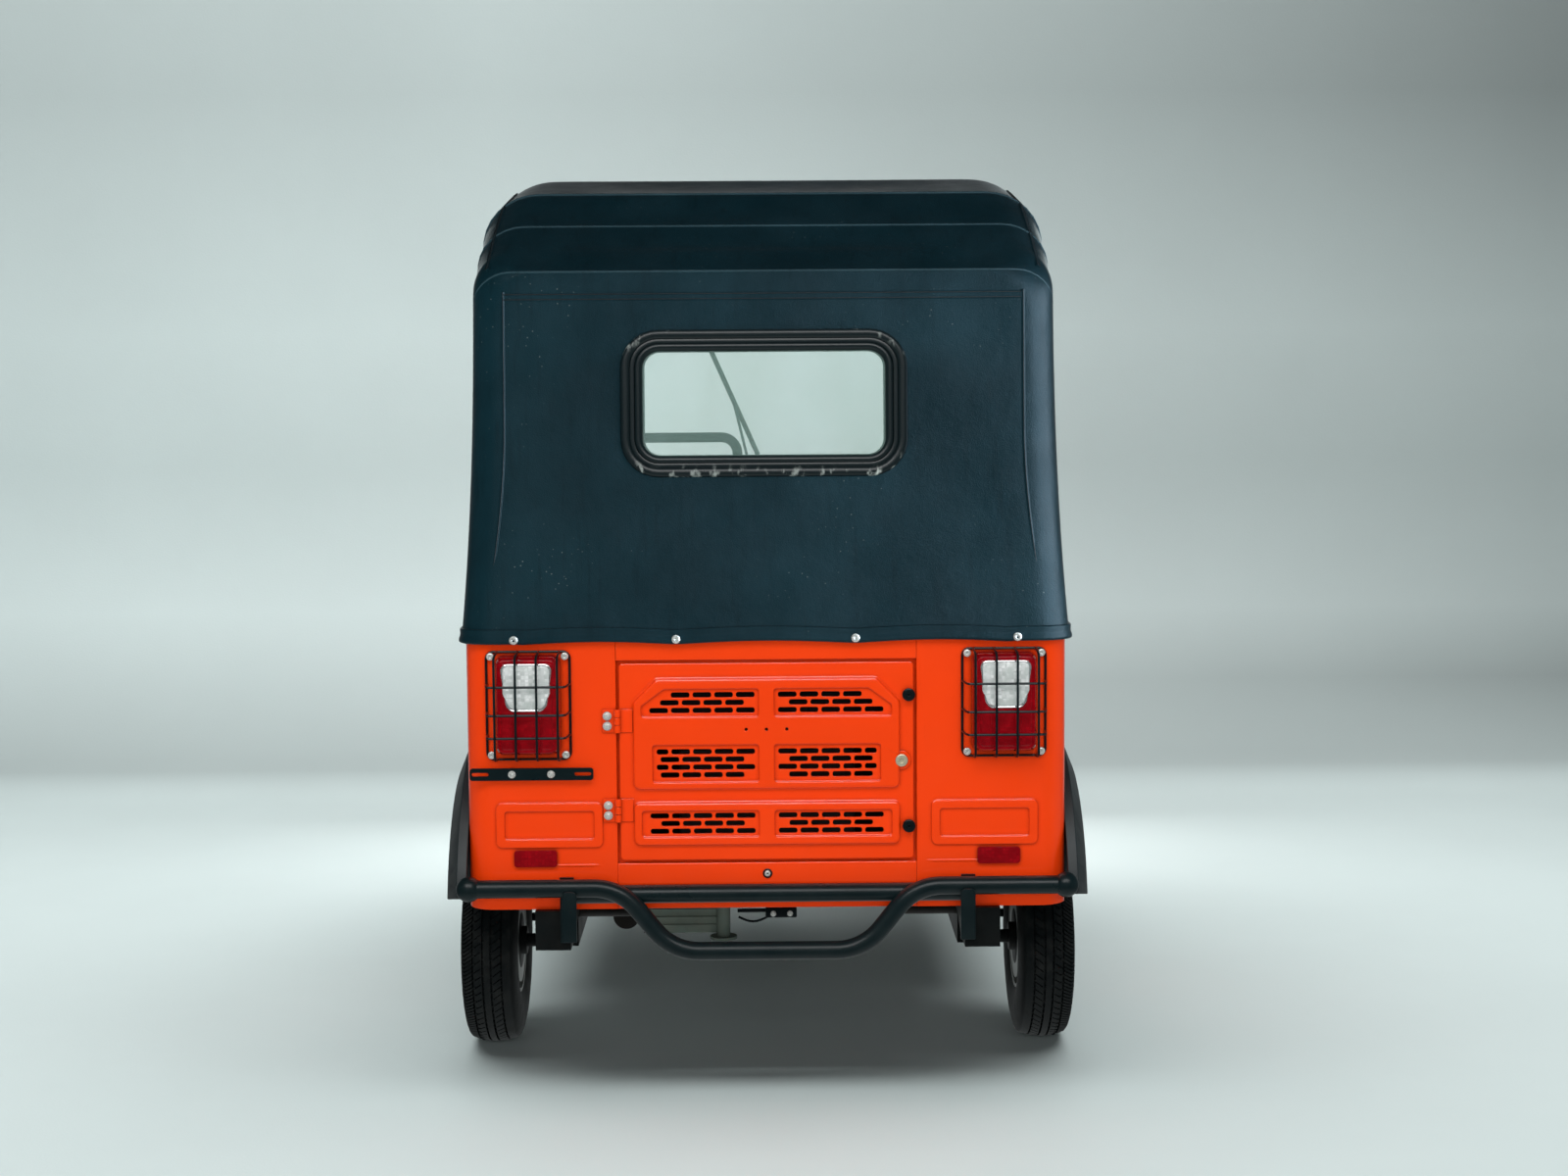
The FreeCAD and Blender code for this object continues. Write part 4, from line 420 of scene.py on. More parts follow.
def only(piece):
    """Selects one object and nothing else."""
    if bpy.context.object and bpy.context.object.mode != "OBJECT":
        bpy.ops.object.mode_set(mode="OBJECT")
    bpy.ops.object.select_all(action="DESELECT")
    piece.select_set(True)
    bpy.context.view_layer.objects.active = piece
    return piece


def in_edit(piece, test=None, kind="FACE"):
    """Opens a piece in edit mode with the faces, edges or vertices that pass the test selected."""
    only(piece)
    bpy.ops.object.mode_set(mode="EDIT")
    bpy.ops.mesh.select_mode(type=kind)
    bpy.ops.mesh.select_all(action="DESELECT")
    mesh = bmesh.from_edit_mesh(piece.data)
    parts = {"FACE": mesh.faces, "EDGE": mesh.edges, "VERT": mesh.verts}[kind]
    for part in parts:
        part.select_set(bool(test is None or test(part)))
    mesh.select_flush_mode()
    bmesh.update_edit_mesh(piece.data)


def out_of_edit():
    """Back to object mode."""
    bpy.ops.object.mode_set(mode="OBJECT")


def tidy_mesh(piece, outwards=True):
    """Merges doubles, then turns the faces outwards."""
    in_edit(piece)
    bpy.ops.mesh.remove_doubles(threshold=0.00002)
    if outwards:
        bpy.ops.mesh.select_all(action="SELECT")
        bpy.ops.mesh.normals_make_consistent(inside=False)
    out_of_edit()
    return piece


def modify(piece, kind, **settings):
    """Adds a modifier and applies it."""
    only(piece)
    modifier = piece.modifiers.new(kind.title(), kind)
    for name, value in settings.items():
        setattr(modifier, name, value)
    if kind == "SUBSURF":
        modifier.levels = modifier.render_levels
    bpy.ops.object.modifier_apply(modifier=modifier.name)
    return piece


def bevelled(piece, width, segments=2, angle=30):
    """Rounds the edges that turn by more than an angle."""
    limit = math.radians(angle)
    return modify(piece, "BEVEL", width=width, segments=segments, limit_method="ANGLE", angle_limit=limit)


def settle(piece):
    """Puts a piece's place into its mesh, so its object sits at the origin."""
    only(piece)
    bpy.ops.object.transform_apply(location=True, rotation=True, scale=True)
    return piece


def disc(radius, depth, sides, z=0.0):
    """A cylinder round Z, to be shaped."""
    bpy.ops.mesh.primitive_cylinder_add(vertices=sides, radius=radius, depth=depth, location=(0, 0, z))
    return settle(bpy.context.object)


def block(place, size):
    """A box, to be shaped."""
    bpy.ops.mesh.primitive_cube_add(size=1, location=place)
    bpy.context.object.scale = size
    return settle(bpy.context.object)


def drawn(x=0.0, y=0.0, z=0.0):
    """Extrudes what is selected."""
    bpy.ops.mesh.extrude_region_move(TRANSFORM_OT_translate={"value": (x, y, z)})


def finished(piece, name, finish, body="vehicle", replaces=(), smooth=SHARP):
    """Names, places, shades and paints a finished piece, or several as one, and sets it on its body."""
    piece = settle(joined(piece, name) if isinstance(piece, list) else piece)
    piece.name = name
    piece.data.name = name
    only(piece)
    bpy.ops.object.shade_smooth_by_angle(angle=smooth)
    piece.data.materials.clear()
    piece.data.materials.append(use(finish))
    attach(piece, body)
    if replaces:
        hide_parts(*replaces)
    return piece


def mesh_piece(name, points, faces):
    """A piece from points and faces."""
    data = bpy.data.meshes.new(name)
    data.from_pydata([tuple(p) for p in points], [], faces)
    data.update()
    piece = bpy.data.objects.new(name, data)
    bpy.context.scene.collection.objects.link(piece)
    return piece


def joined(pieces, name):
    """Several pieces as one."""
    only(pieces[0])
    for piece in pieces:
        piece.select_set(True)
    bpy.ops.object.join()
    piece = bpy.context.object
    piece.name = name
    return piece


def copied(piece, matrix):
    """A copy with its own mesh, put in place by a matrix."""
    twin = piece.copy()
    twin.data = piece.data.copy()
    bpy.context.scene.collection.objects.link(twin)
    twin.data.transform(matrix)
    if matrix.determinant() < 0:
        twin.data.flip_normals()
    return twin


# rings of walls in a pressed panel: smaller ones than this are slots and holes
SLOT_WIDEST, SLOT_TALLEST, SLOT_STRETCH = 45 * MM, 14 * MM, 1.16
FINE_ROUND, CUT_ROUND = 0.3 * MM, 0.7 * MM
# the rear wall is flat up to here, and turns the corner beyond
FLAT_HALF = 0.53


def press_radii(piece, widest):
    """Gives each edge of a pressed panel its own rounding: wide round an emboss, fine round a slot."""
    mesh = bmesh.new()
    mesh.from_mesh(piece.data)
    layer = mesh.edges.layers.float.new("bevel_weight_edge")

    def depth(face):
        places = [v.co.y for v in face.verts]
        return max(places) - min(places)

    walls = {f for f in mesh.faces if abs(f.normal.y) < 0.3 and depth(f) < 12 * MM}
    for edge in mesh.edges:
        # a panel's side and corner are long thin triangles that a bevel would fold, so they keep their edges
        if any(abs(v.co.x) > FLAT_HALF for v in edge.verts):
            continue
        if edge.calc_face_angle(0.0) > math.radians(32) and not all(f in walls for f in edge.link_faces):
            edge[layer] = CUT_ROUND / widest
    seen = set()
    for first in mesh.faces:
        ring, stack = [], [first] if first in walls else []
        while stack:
            face = stack.pop()
            if face not in seen:
                seen.add(face)
                ring.append(face)
                stack += [other for edge in face.edges for other in edge.link_faces if other in walls]
        if not ring:
            continue
        places = [v.co for f in ring for v in f.verts]
        wide = max(p.x for p in places) - min(p.x for p in places)
        tall = max(p.z for p in places) - min(p.z for p in places)
        if wide < SLOT_WIDEST and 5 * MM < tall < SLOT_TALLEST:
            # the lips are folded in, so the opening is drawn a little taller than its cut
            middle = (max(p.z for p in places) + min(p.z for p in places)) / 2
            for vert in {v for f in ring for v in f.verts}:
                vert.co.z = middle + (vert.co.z - middle) * SLOT_STRETCH
        small = wide < SLOT_WIDEST and tall < SLOT_TALLEST
        for face in ring:
            high = depth(face)
            reach = FINE_ROUND if small else min(widest, high * (0.42 if high > 7 * MM else 0.3))
            for edge in face.edges:
                if edge[layer]:
                    edge[layer] = reach / widest
    mesh.to_mesh(piece.data)
    mesh.free()


def dressed(node, finish, edge=1.0, segments=2, name=None, pressed=False):
    """A copy of a CAD node with its doubles merged and its edges rounded, shown in the node's place."""
    source = frame["nodes"][node]
    piece = source.copy()
    piece.data = source.data.copy()
    for key in list(piece.keys()):
        del piece[key]
    piece.parent = None
    bpy.context.scene.collection.objects.link(piece)
    piece.hide_render = False
    only(piece)
    if piece.data.has_custom_normals:
        bpy.ops.mesh.customdata_custom_splitnormals_clear()
    in_edit(piece)
    bpy.ops.mesh.remove_doubles(threshold=0.00002)
    bpy.ops.mesh.select_all(action="SELECT")
    bpy.ops.mesh.dissolve_limited(angle_limit=math.radians(0.6))
    out_of_edit()
    if pressed:
        # flat faces with holes stay whole through the bevel when they are triangles first
        in_edit(piece)
        bpy.ops.mesh.quads_convert_to_tris(ngon_method="BEAUTY")
        out_of_edit()
        press_radii(piece, edge * MM)
        modify(
            piece, "BEVEL", width=edge * MM, segments=segments,
            limit_method="WEIGHT", use_clamp_overlap=False, loop_slide=False,
        )
    elif edge:
        bevelled(piece, edge * MM, segments, 32)
    finished(piece, name or node + "_dressed", finish, source["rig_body"], [node])
    if edge:
        # flat faces keep their flat shading, and the small rounding takes the turn
        modify(piece, "WEIGHTED_NORMAL", keep_sharp=True, weight=80)
    return piece


def dressed_all(rows):
    """Dresses CAD nodes: each row gives the node, its finish, its slot (not used) and its widest rounding in mm.
    """
    for node, finish, slot, edge in rows:
        dressed(node, finish, edge, 3 if node in FINE_EDGES else 2)


def painted(node, finish):
    """A CAD node shown as it is, in its own finish."""
    piece = frame["nodes"][node]
    piece.data.materials.clear()
    piece.data.materials.append(use(finish))
    for face in piece.data.polygons:
        face.material_index = 0


def facing(x, y, z, direction=BACK):
    """Matrix that turns +Z to a direction and moves to a place."""
    turn = Vector((0, 0, 1)).rotation_difference(Vector(direction)).to_matrix().to_4x4()
    return Matrix.Translation((x, y, z)) @ turn


def swept(name, path, section, closed=False, up=None):
    """A tube along a path: section lists (across, out) in metres, and up is one direction or one a point."""
    ways = up if isinstance(up, list) else [up or UP] * len(path)
    points, faces = [], []
    count, width = len(path), len(section)
    for i, point in enumerate(path):
        before = path[i - 1] if (closed or i > 0) else path[i]
        after = path[(i + 1) % count] if (closed or i < count - 1) else path[i]
        along = (after - before).normalized()
        out = ways[i].normalized()
        out = (out - along * out.dot(along)).normalized()
        across = along.cross(out)
        points += [point + across * a + out * b for a, b in section]
    loops = count if closed else count - 1
    for i in range(loops):
        j = (i + 1) % count
        for k in range(width):
            m = (k + 1) % width
            faces.append((i * width + k, i * width + m, j * width + m, j * width + k))
    if not closed:
        faces.append(tuple(range(width)))
        faces.append(tuple((count - 1) * width + k for k in reversed(range(width))))
    return tidy_mesh(mesh_piece(name, points, faces))


def round_section(radius, steps=10, flat=1.0):
    """Round section for a swept tube; flat squashes it outwards."""
    turn = 2 * math.pi / steps
    return [(radius * math.cos(turn * i), radius * flat * math.sin(turn * i)) for i in range(steps)]


# Sizes and colours that a user may change


def colour_setting(name, description, code):
    return bpy.props.FloatVectorProperty(
        name=name, description=description, subtype="COLOR", size=4, default=linear(code)
    )


def length_setting(name, description, default, high, low=0.0):
    return bpy.props.FloatProperty(
        name=name, description=description, unit="LENGTH", default=default, min=low, max=high
    )


class RickshawColours(bpy.types.PropertyGroup):
    """Colours of the main finishes."""

    body: colour_setting("Body", "Enamel of the body and doors", "#E83C03")
    hood: colour_setting("Hood", "Coated canvas of the soft top", "#0C2830")
    black_steel: colour_setting("Black steel", "Bumper, guards and brackets", "#08171A")
    flare: colour_setting("Flares", "Plastic flares and trim", "#172124")
    seat: colour_setting("Seats", "Leatherette of the seats", "#20282B")
    red_lens: colour_setting("Red lens", "Tail lamps and reflectors", "#8C0410")
    stage: colour_setting("Floor", "Paint of the studio floor", "#D3DDDC")


class RickshawSizes(bpy.types.PropertyGroup):
    """Sizes of the trim and the details."""

    hood_thick: length_setting("Hood thickness", "Canvas with its lining", 0.0026, low=0.001, high=0.006)
    hood_sag: length_setting("Hood sag", "How far the canvas dips between hoops", 0.012, high=0.03)
    hem_height: length_setting("Hem height", "Height of the hem band", 0.024, high=0.05)
    tread_depth: length_setting("Tread depth", "Depth of the tyre's grooves", 0.006, high=0.009)
    tread_pitches: bpy.props.IntProperty(
        name="Tread pitches", description="Tread patterns round one tyre", default=76, min=20, max=90
    )
    cushion_swell: length_setting("Cushion swell", "Most that a seat may swell", 0.014, high=0.03)
    edge_round: length_setting("Panel edge", "Widest rounding of a pressed edge", 0.0038, low=0.001, high=0.004)


FINISHES = {}


def colours():
    return bpy.context.scene.rickshaw_colours


def sizes():
    return bpy.context.scene.rickshaw_sizes


def use(name):
    """A finish by its plain name."""
    if not FINISHES:
        FINISHES.update(make_materials(colours()))
    return FINISHES[name]


# Stage


class RICKSHAW_OT_stage(bpy.types.Operator):
    """Adds the studio floor, the lights and the camera at the photograph's place"""

    bl_idname = "rickshaw.stage"
    bl_label = "Stage and Camera"
    bl_options = {"REGISTER", "UNDO"}

    def execute(self, context):
        bpy.ops.mesh.primitive_plane_add(size=1, location=(0, 2.2, 0))
        floor = bpy.context.object
        floor.scale = (26, 10.6, 1)
        settle(floor)
        # the far edge is pulled up into a wall, and the corner is rolled into a sweep
        in_edit(floor, lambda e: all(v.co.y < -3 for v in e.verts), "EDGE")
        drawn(z=7)
        out_of_edit()
        in_edit(floor, lambda e: all(v.co.y < -3 and abs(v.co.z) < 0.01 for v in e.verts), "EDGE")
        bpy.ops.mesh.bevel(offset=1.1, segments=24)
        out_of_edit()
        only(floor)
        bpy.ops.object.shade_smooth()
        floor.name = "studio_floor"
        floor.data.materials.append(floor_material("painted_studio_floor", colours().stage))
        floor.visible_glossy = False
        self.lights()
        self.camera()
        return {"FINISHED"}

    def lights(self):
        """Large soft boxes at both sides, behind the camera and overhead, in a pale room."""
        linked = {}
        for name, state in (("stage_only", "INCLUDE"), ("not_the_stage", "EXCLUDE"), ("hard_parts", "EXCLUDE")):
            linked[name] = bpy.data.collections.new(name)
            linked[name].objects.link(bpy.data.objects["studio_floor"])
            linked[name].collection_objects[0].light_linking.link_state = state
        # the soft top and the body panels join these when they are made, for the window light and the edge light
        for name in ("soft_top_only", "enamel_only"):
            linked[name] = bpy.data.collections.new(name)
        rows = [
            # name, place, width, height, watts, colour, dull light or gloss or both, what it lights
            ("side_box_left", (6.0, 0.8, 2.2), 4.0, 3.0, 45, "#F6F8F8", "dull", "not_the_stage"),
            ("side_box_right", (-6.0, 0.0, 2.2), 4.0, 3.0, 190, "#E6F0F8", "dull", "not_the_stage"),
            ("camera_box", (0.3, 9.2, 1.9), 7.0, 3.2, 265, "#FFFFFF", "dull", "not_the_stage"),
            ("strip_box", (0.2, 5.0, 4.4), 6.0, 2.2, 200, "#FFFFFF", "both", "hard_parts"),
            ("roof_box", (0.0, 0.8, 5.6), 8.0, 6.0, 45, "#F8FAFA", "dull", "hard_parts"),
            ("edge_box", (0.2, 4.4, 4.8), 7.0, 3.2, 520, "#FFF8F0", "gloss", "enamel_only"),
            ("hood_front_box", (0.3, 9.2, 1.9), 7.0, 3.2, 260, "#FFFFFF", "dull", "soft_top_only"),
            ("hood_window_box", (-4.2, 3.0, 1.7), 6.5, 3.6, 820, "#D2E8FA", "gloss", "soft_top_only"),
            ("hood_ridge_box", (0.0, 3.4, 5.2), 6.0, 0.8, 70, "#F0FAFF", "gloss", "soft_top_only"),
            ("floor_box", (0.0, 0.6, 5.8), 9.0, 5.0, 590, "#F6FAFA", "dull", "stage_only"),
            ("low_floor_box", (0.0, -1.6, 0.9), 1.0, 0.6, 45, "#F6FAFA", "dull", "stage_only"),
            ("near_floor_box", (0.0, 7.5, 2.0), 8.0, 3.0, 110, "#F6FAFA", "dull", "stage_only"),
            ("front_box", (0.0, -2.7, 2.3), 5.0, 1.6, 60, "#F4F8F8", "dull", "not_the_stage"),
            ("hood_far_box", (0.0, -7.0, 2.9), 9.0, 2.0, 130, "#E6F6F6", "gloss", "soft_top_only"),
        ]
        for name, place, width, height, power, colour, kind, target in rows:
            lamp = bpy.data.lights.new(name, "AREA")
            lamp.shape, lamp.size, lamp.size_y = "RECTANGLE", width, height
            lamp.energy, lamp.color = power, linear(colour)[:3]
            box = bpy.data.objects.new(name, lamp)
            box.location = place
            box.rotation_euler = (Vector((0, 0, 0.8)) - Vector(place)).to_track_quat("-Z", "Y").to_euler()
            box.visible_camera = False
            box.visible_glossy = kind != "dull"
            box.visible_diffuse = kind != "gloss"
            box.light_linking.receiver_collection = linked[target]
            bpy.context.scene.collection.objects.link(box)
        world = bpy.data.worlds.new("studio_room")
        world.use_nodes = True
        tree = world.node_tree
        background = tree.nodes["Background"]
        view = add_node(tree, "ShaderNodeTexCoord").outputs["Generated"]
        axes = add_node(tree, "ShaderNodeSeparateXYZ", None, {"Vector": view}).outputs
        room = mixed(tree, spread(tree, axes[2], 0.05, 0.5), linear("#E2EAEA"), linear("#343A3B"))
        tree.links.new(room, background.inputs["Color"])
        # reflections see a dark room: bright walls at its sides and far end, and a pale floor below
        right = spread(tree, axes[0], -0.98, -0.7, 0.16, 0.02)
        left = spread(tree, axes[0], 0.7, 0.98, 0.0, 0.04)
        far = spread(tree, axes[1], -0.95, -0.6, 0.45, 0.0)
        below = spread(tree, axes[2], -0.85, -0.4, 0.6, 0.0)
        shine = times(tree, times(tree, right, left, "ADD"), times(tree, far, below, "ADD"), "ADD")
        gloss = add_node(tree, "ShaderNodeLightPath").outputs["Is Glossy Ray"]
        dull = spread(tree, gloss, 0.0, 1.0, 0.42, 0.0)
        tree.links.new(times(tree, dull, times(tree, gloss, shine), "ADD"), background.inputs["Strength"])
        bpy.context.scene.world = world
        bpy.context.scene.view_settings.view_transform = "Standard"

    def camera(self):
        """The lens, place and slight tilt that the photograph's perspective gives."""
        pitch, yaw, roll = math.radians(4.8), math.radians(0.46), math.radians(0.40)
        forward = Vector((-math.sin(yaw) * math.cos(pitch), -math.cos(yaw) * math.cos(pitch), -math.sin(pitch)))
        level = Vector((-math.cos(yaw), math.sin(yaw), 0))
        upward = level.cross(forward)
        right = level * math.cos(roll) - upward * math.sin(roll)
        top = level * math.sin(roll) + upward * math.cos(roll)
        data = bpy.data.cameras.new("photo_camera")
        data.sensor_width, data.lens = 36.0, 2370 * 36 / 1600
        camera = bpy.data.objects.new("photo_camera", data)
        turn = Matrix((right, top, -forward)).transposed().to_4x4()
        camera.matrix_world = Matrix.Translation((0, 5.805, 1.3663)) @ turn
        bpy.context.scene.collection.objects.link(camera)
        bpy.context.scene.camera = camera


# Soft top

HEM_Z = 0.882
SIDE_OPEN_Z = 1.540
BASE_SPREAD = 0.0294
REAR_CORNER = 0.0633
STUD_X = [-0.494, -0.176, 0.176, 0.494]
STUD_Y = [1.08, 0.84, 0.62]
# place along the vehicle, height, half width and corner of each hoop that holds the canvas up
HOOPS = [
    (1.2271, 1.605, 0.575, 0.078),
    (1.0871, 1.702, 0.575, 0.094),
    (0.9871, 1.774, 0.575, 0.116),
    (0.8021, 1.8185, 0.575, 0.132),
    (0.500, 1.8175, 0.575, 0.132),
    (-0.060, 1.803, 0.568, 0.130),
    (-0.830, 1.711, 0.553, 0.090),
]
SIDE_ROWS, ARC_ROWS, TOP_ROWS = 30, 8, 24


def eased(share):
    """A share from 0 to 1 that starts and ends slowly."""
    return share * share * (3 - 2 * share)


def between_studs(place, studs):
    """0 at a stud, 1 midway between two."""
    studs = sorted(studs)
    for low, high in zip(studs, studs[1:]):
        if low <= place <= high:
            return math.sin(math.pi * (place - low) / (high - low))
    return 0.35


def side_bottom(y):
    """Lowest point of the hood's side: the hem behind the doorway, the valance over it."""
    if y >= 0.56:
        return HEM_Z
    line = HEM_Z + (0.56 - y) / 0.09 * (SIDE_OPEN_Z - HEM_Z)
    if line < SIDE_OPEN_Z - 0.13:
        return line
    start = 0.56 - 0.09 * (SIDE_OPEN_Z - 0.13 - HEM_Z) / (SIDE_OPEN_Z - HEM_Z)
    share = min(1.0, (start - y) / 0.115)
    return SIDE_OPEN_Z - 0.13 * (1 - math.sin(share * math.pi / 2)) ** 1.15


def arch(y, top_z, half, corner, lean, bottom, dip, pull):
    """One cross line of the hood, from the left hem over the top to the right hem."""
    points = []

    def side_x(z):
        fall = max(0.0, min(1.0, (top_z - z) / (top_z - HEM_Z)))
        return half + BASE_SPREAD * fall**2.5 - pull * math.sin(math.pi * min(1.0, fall * 1.1))

    knee = top_z - corner
    for i in range(SIDE_ROWS + 1):
        z = bottom + (knee - bottom) * i / SIDE_ROWS
        points.append(Vector((side_x(z), y + (top_z - z) * lean, z)))
    for i in range(1, ARC_ROWS + 1):
        angle = math.pi / 2 * i / ARC_ROWS
        shift = side_x(knee) - half
        x = half - corner + (corner + shift * (1 - i / ARC_ROWS)) * math.cos(angle)
        z = knee + corner * math.sin(angle)
        points.append(Vector((x, y + (top_z - z) * lean, z)))
    for i in range(1, TOP_ROWS // 2 + 1):
        share = 2 * i / TOP_ROWS
        x = (half - corner) * (1 - share)
        points.append(Vector((x, y, top_z - dip * eased(min(1.0, share * 1.6)))))
    mirror = [Vector((-p.x, p.y, p.z)) for p in reversed(points[:-1])]
    return points + mirror


def hood_stations():
    """Every cross line of the hood from the rear corner to the windscreen header."""
    lines = []
    y0, z0, half, corner = HOOPS[0]
    rise = (HOOPS[1][1] - z0) / (y0 - HOOPS[1][0])
    for i in range(7):
        angle = math.pi / 2 * (1 - i / 6)
        forward = REAR_CORNER * (1 - math.sin(angle))
        narrow = REAR_CORNER * (1 - math.cos(angle))
        # the rear hoop keeps its crisp edge, so the top stays level with it until the corner is turned
        lines.append((y0 - forward, z0 + rise * forward, half - narrow, corner, WALL_LEAN, HEM_Z, 0.0, 0.0))
    steps = [9, 8, 10, 18, 18, 20]
    for (ya, za, ha, ca), (yb, zb, hb, cb), count in zip(HOOPS, HOOPS[1:], steps):
        for k in range(1, count + 1):
            t = k / count
            y = ya + (yb - ya) * t
            if y > y0 - REAR_CORNER - 0.004:
                continue
            bow = math.sin(math.pi * t)
            start = WALL_LEAN * max(0.0, 1 - (y0 - REAR_CORNER - y) / 0.12)
            z, half, corner = za + (zb - za) * t, ha + (hb - ha) * t, ca + (cb - ca) * t
            dip = sizes().hood_sag * bow * (0.35 if ya > 0.9 else 0.8)
            lines.append((y, z, half, corner, start, side_bottom(y), dip, 0.005 * bow))
    return lines


def hood_mesh():
    """The whole canvas as one surface: the rear panel, the corners, the roof and the sides."""
    arches = [arch(*line) for line in hood_stations()]
    width = len(arches[0])
    points = [p for line in arches for p in line]
    faces = []
    for i in range(len(arches) - 1):
        for k in range(width - 1):
            a, b = i * width + k, (i + 1) * width + k
            faces.append((a, b, b + 1, a + 1))
    # the rear panel is filled row by row between the two sides of the first arch
    rows = SIDE_ROWS + ARC_ROWS
    grid = {}
    for r in range(rows + 1):
        left, right = arches[0][r], arches[0][width - 1 - r]
        for c in range(TOP_ROWS + 1):
            if r == rows:
                grid[r, c] = r + c
            elif c == 0:
                grid[r, c] = r
            elif c == TOP_ROWS:
                grid[r, c] = width - 1 - r
            else:
                share = c / TOP_ROWS
                grid[r, c] = len(points)
                points.append(left.lerp(right, share))
    for r in range(rows):
        for c in range(TOP_ROWS):
            faces.append((grid[r, c], grid[r + 1, c], grid[r + 1, c + 1], grid[r, c + 1]))
    return points, faces


def rear_y(z):
    """Where the hood's rear panel stands at a height."""
    return HOOPS[0][0] + (HOOPS[0][1] - z) * WALL_LEAN


def window_hole(x, z):
    """True inside the opening that the window seal grips."""
    half_x, half_z, corner = 0.262, 0.124, 0.055
    dx, dz = abs(x) - (half_x - corner), abs(z - WINDOW_Z) - (half_z - corner)
    if dx <= 0 or dz <= 0:
        return abs(x) < half_x and abs(z - WINDOW_Z) < half_z
    return math.hypot(dx, dz) < corner


class RICKSHAW_OT_hood(bpy.types.Operator):
    """Adds the soft top: one canvas over the hoops, with its folds, seams, hem and studs"""

    bl_idname = "rickshaw.hood"
    bl_label = "Soft Top"
    bl_options = {"REGISTER", "UNDO"}

    def execute(self, context):
        points, faces = hood_mesh()
        hood = mesh_piece("soft_top", points, faces)
        tidy_mesh(hood)
        self.stretch(hood)
        self.open_window(hood)
        modify(hood, "SOLIDIFY", thickness=sizes().hood_thick, offset=-1.0, use_even_offset=False)
        finished(hood, "soft_top", "canvas", replaces=["canopy"], smooth=math.radians(50))
        trims = self.piping() + self.seams() + [self.hem(), self.studs()]
        for piece in [hood, *trims]:
            bpy.data.collections["soft_top_only"].objects.link(piece)
            bpy.data.collections["hard_parts"].objects.link(piece)
        for member in bpy.data.collections["hard_parts"].collection_objects:
            member.light_linking.link_state = "EXCLUDE"
        return {"FINISHED"}

    def stretch(self, hood):
        """Finer cloth, tugged in between its studs and puckered near them."""
        modify(hood, "SUBSURF", render_levels=1, boundary_smooth="PRESERVE_CORNERS")
        for v in hood.data.vertices:
            x, y, z = v.co
            rear = y > REAR_PLANE - 0.06
            # the rear panel is drawn in a little between the top seam and the hem
            if abs(x) < 0.53 and y > 1.2 and z < 1.58:
                belly = math.sin(math.pi * (z - HEM_Z) / (1.6 - HEM_Z)) * (1 - (x / 0.53) ** 2)
                v.co.y -= 0.004 * belly
            if z < 1.0 and rear:
                v.co.y += 0.0016 * between_studs(x, STUD_X) * (1 - (z - HEM_Z) / 0.118)
            if z < HEM_Z + 0.03:
                lift = between_studs(x if rear else y, STUD_X if rear else STUD_Y)
                v.co.z += 0.006 * lift * (1 - (z - HEM_Z) / 0.03)

    def open_window(self, hood):
        """Deletes the faces inside the window's opening."""

        def inside(face):
            x, y, z = face.calc_center_median()
            return y > 1.19 and window_hole(x, z)

        in_edit(hood, inside)
        bpy.ops.mesh.delete(type="FACE")
        out_of_edit()

    def along(self, station, inset=0.0):
        """The outer line of the hood over one hoop."""
        y, z, half, corner = station
        return arch(y, z + inset, half + inset, corner + inset, 0.0, max(side_bottom(y), HEM_Z + 0.03), 0.0, 0.0)

    def forward(self, x, z):
        """How far forward of the rear hoop the cloth passes through a point near its upper corner."""
        y0, z0, half, corner = HOOPS[0]
        rise = (HOOPS[1][1] - z0) / (y0 - HOOPS[1][0])
        low, high = 0.0, REAR_CORNER
        for _ in range(24):
            f = (low + high) / 2
            side = half - REAR_CORNER + math.sqrt(REAR_CORNER**2 - (REAR_CORNER - f) ** 2)
            up = max(0.0, min(1.0, (z - z0 - rise * f + corner) / corner))
            if side - corner + corner * math.sqrt(1 - up * up) < x:
                low = f
            else:
                high = f
        return (low + high) / 2

    def piping(self):
        """Folded edges of the canvas over the three rear hoops: thin rods half sunk in the cloth."""
        made = []
        for i, hoop in enumerate(HOOPS[:3]):
            _, z, _, corner = hoop
            low = z - corner - 0.03
            path = [p for p in self.along(hoop) if p.z > low]
            for point in path:
                # the fold runs out into the cloth at the sides
                sunk = max(0.0, min(1.0, (z - corner * 0.5 - point.z) / (corner * 0.5 + 0.03)))
                if i == 0:
                    point.y -= self.forward(abs(point.x), point.z)
                point.x -= math.copysign(0.005 * sunk, point.x)
            piece = swept(f"hood_fold_{i + 1}", path, round_section(0.0026, 8), up=Vector((0, 1, 0.3)))
            made.append(finished(piece, f"hood_fold_{i + 1}", "canvas_fold", smooth=SOFT))
        return made

    def strip(self, name, path, out, width=0.016, stitches=(-1, 1)):
        """A felled seam: a low flat strip with its edges turned under and its rows of stitches."""
        w, h = width / 2, 0.0014
        section = [(-w, -h), (-w, 0.3 * h), (-w * 0.8, h), (w * 0.8, h), (w, 0.3 * h), (w, -h)]
        piece = swept(name, path, section, up=out)
        rows = []
        for side in stitches:
            line, ways = [], []
            for a, b, way in zip(path, path[1:], out):
                across = (b - a).cross(way).normalized()
                for k in range(max(1, round((b - a).length / 0.0028))):
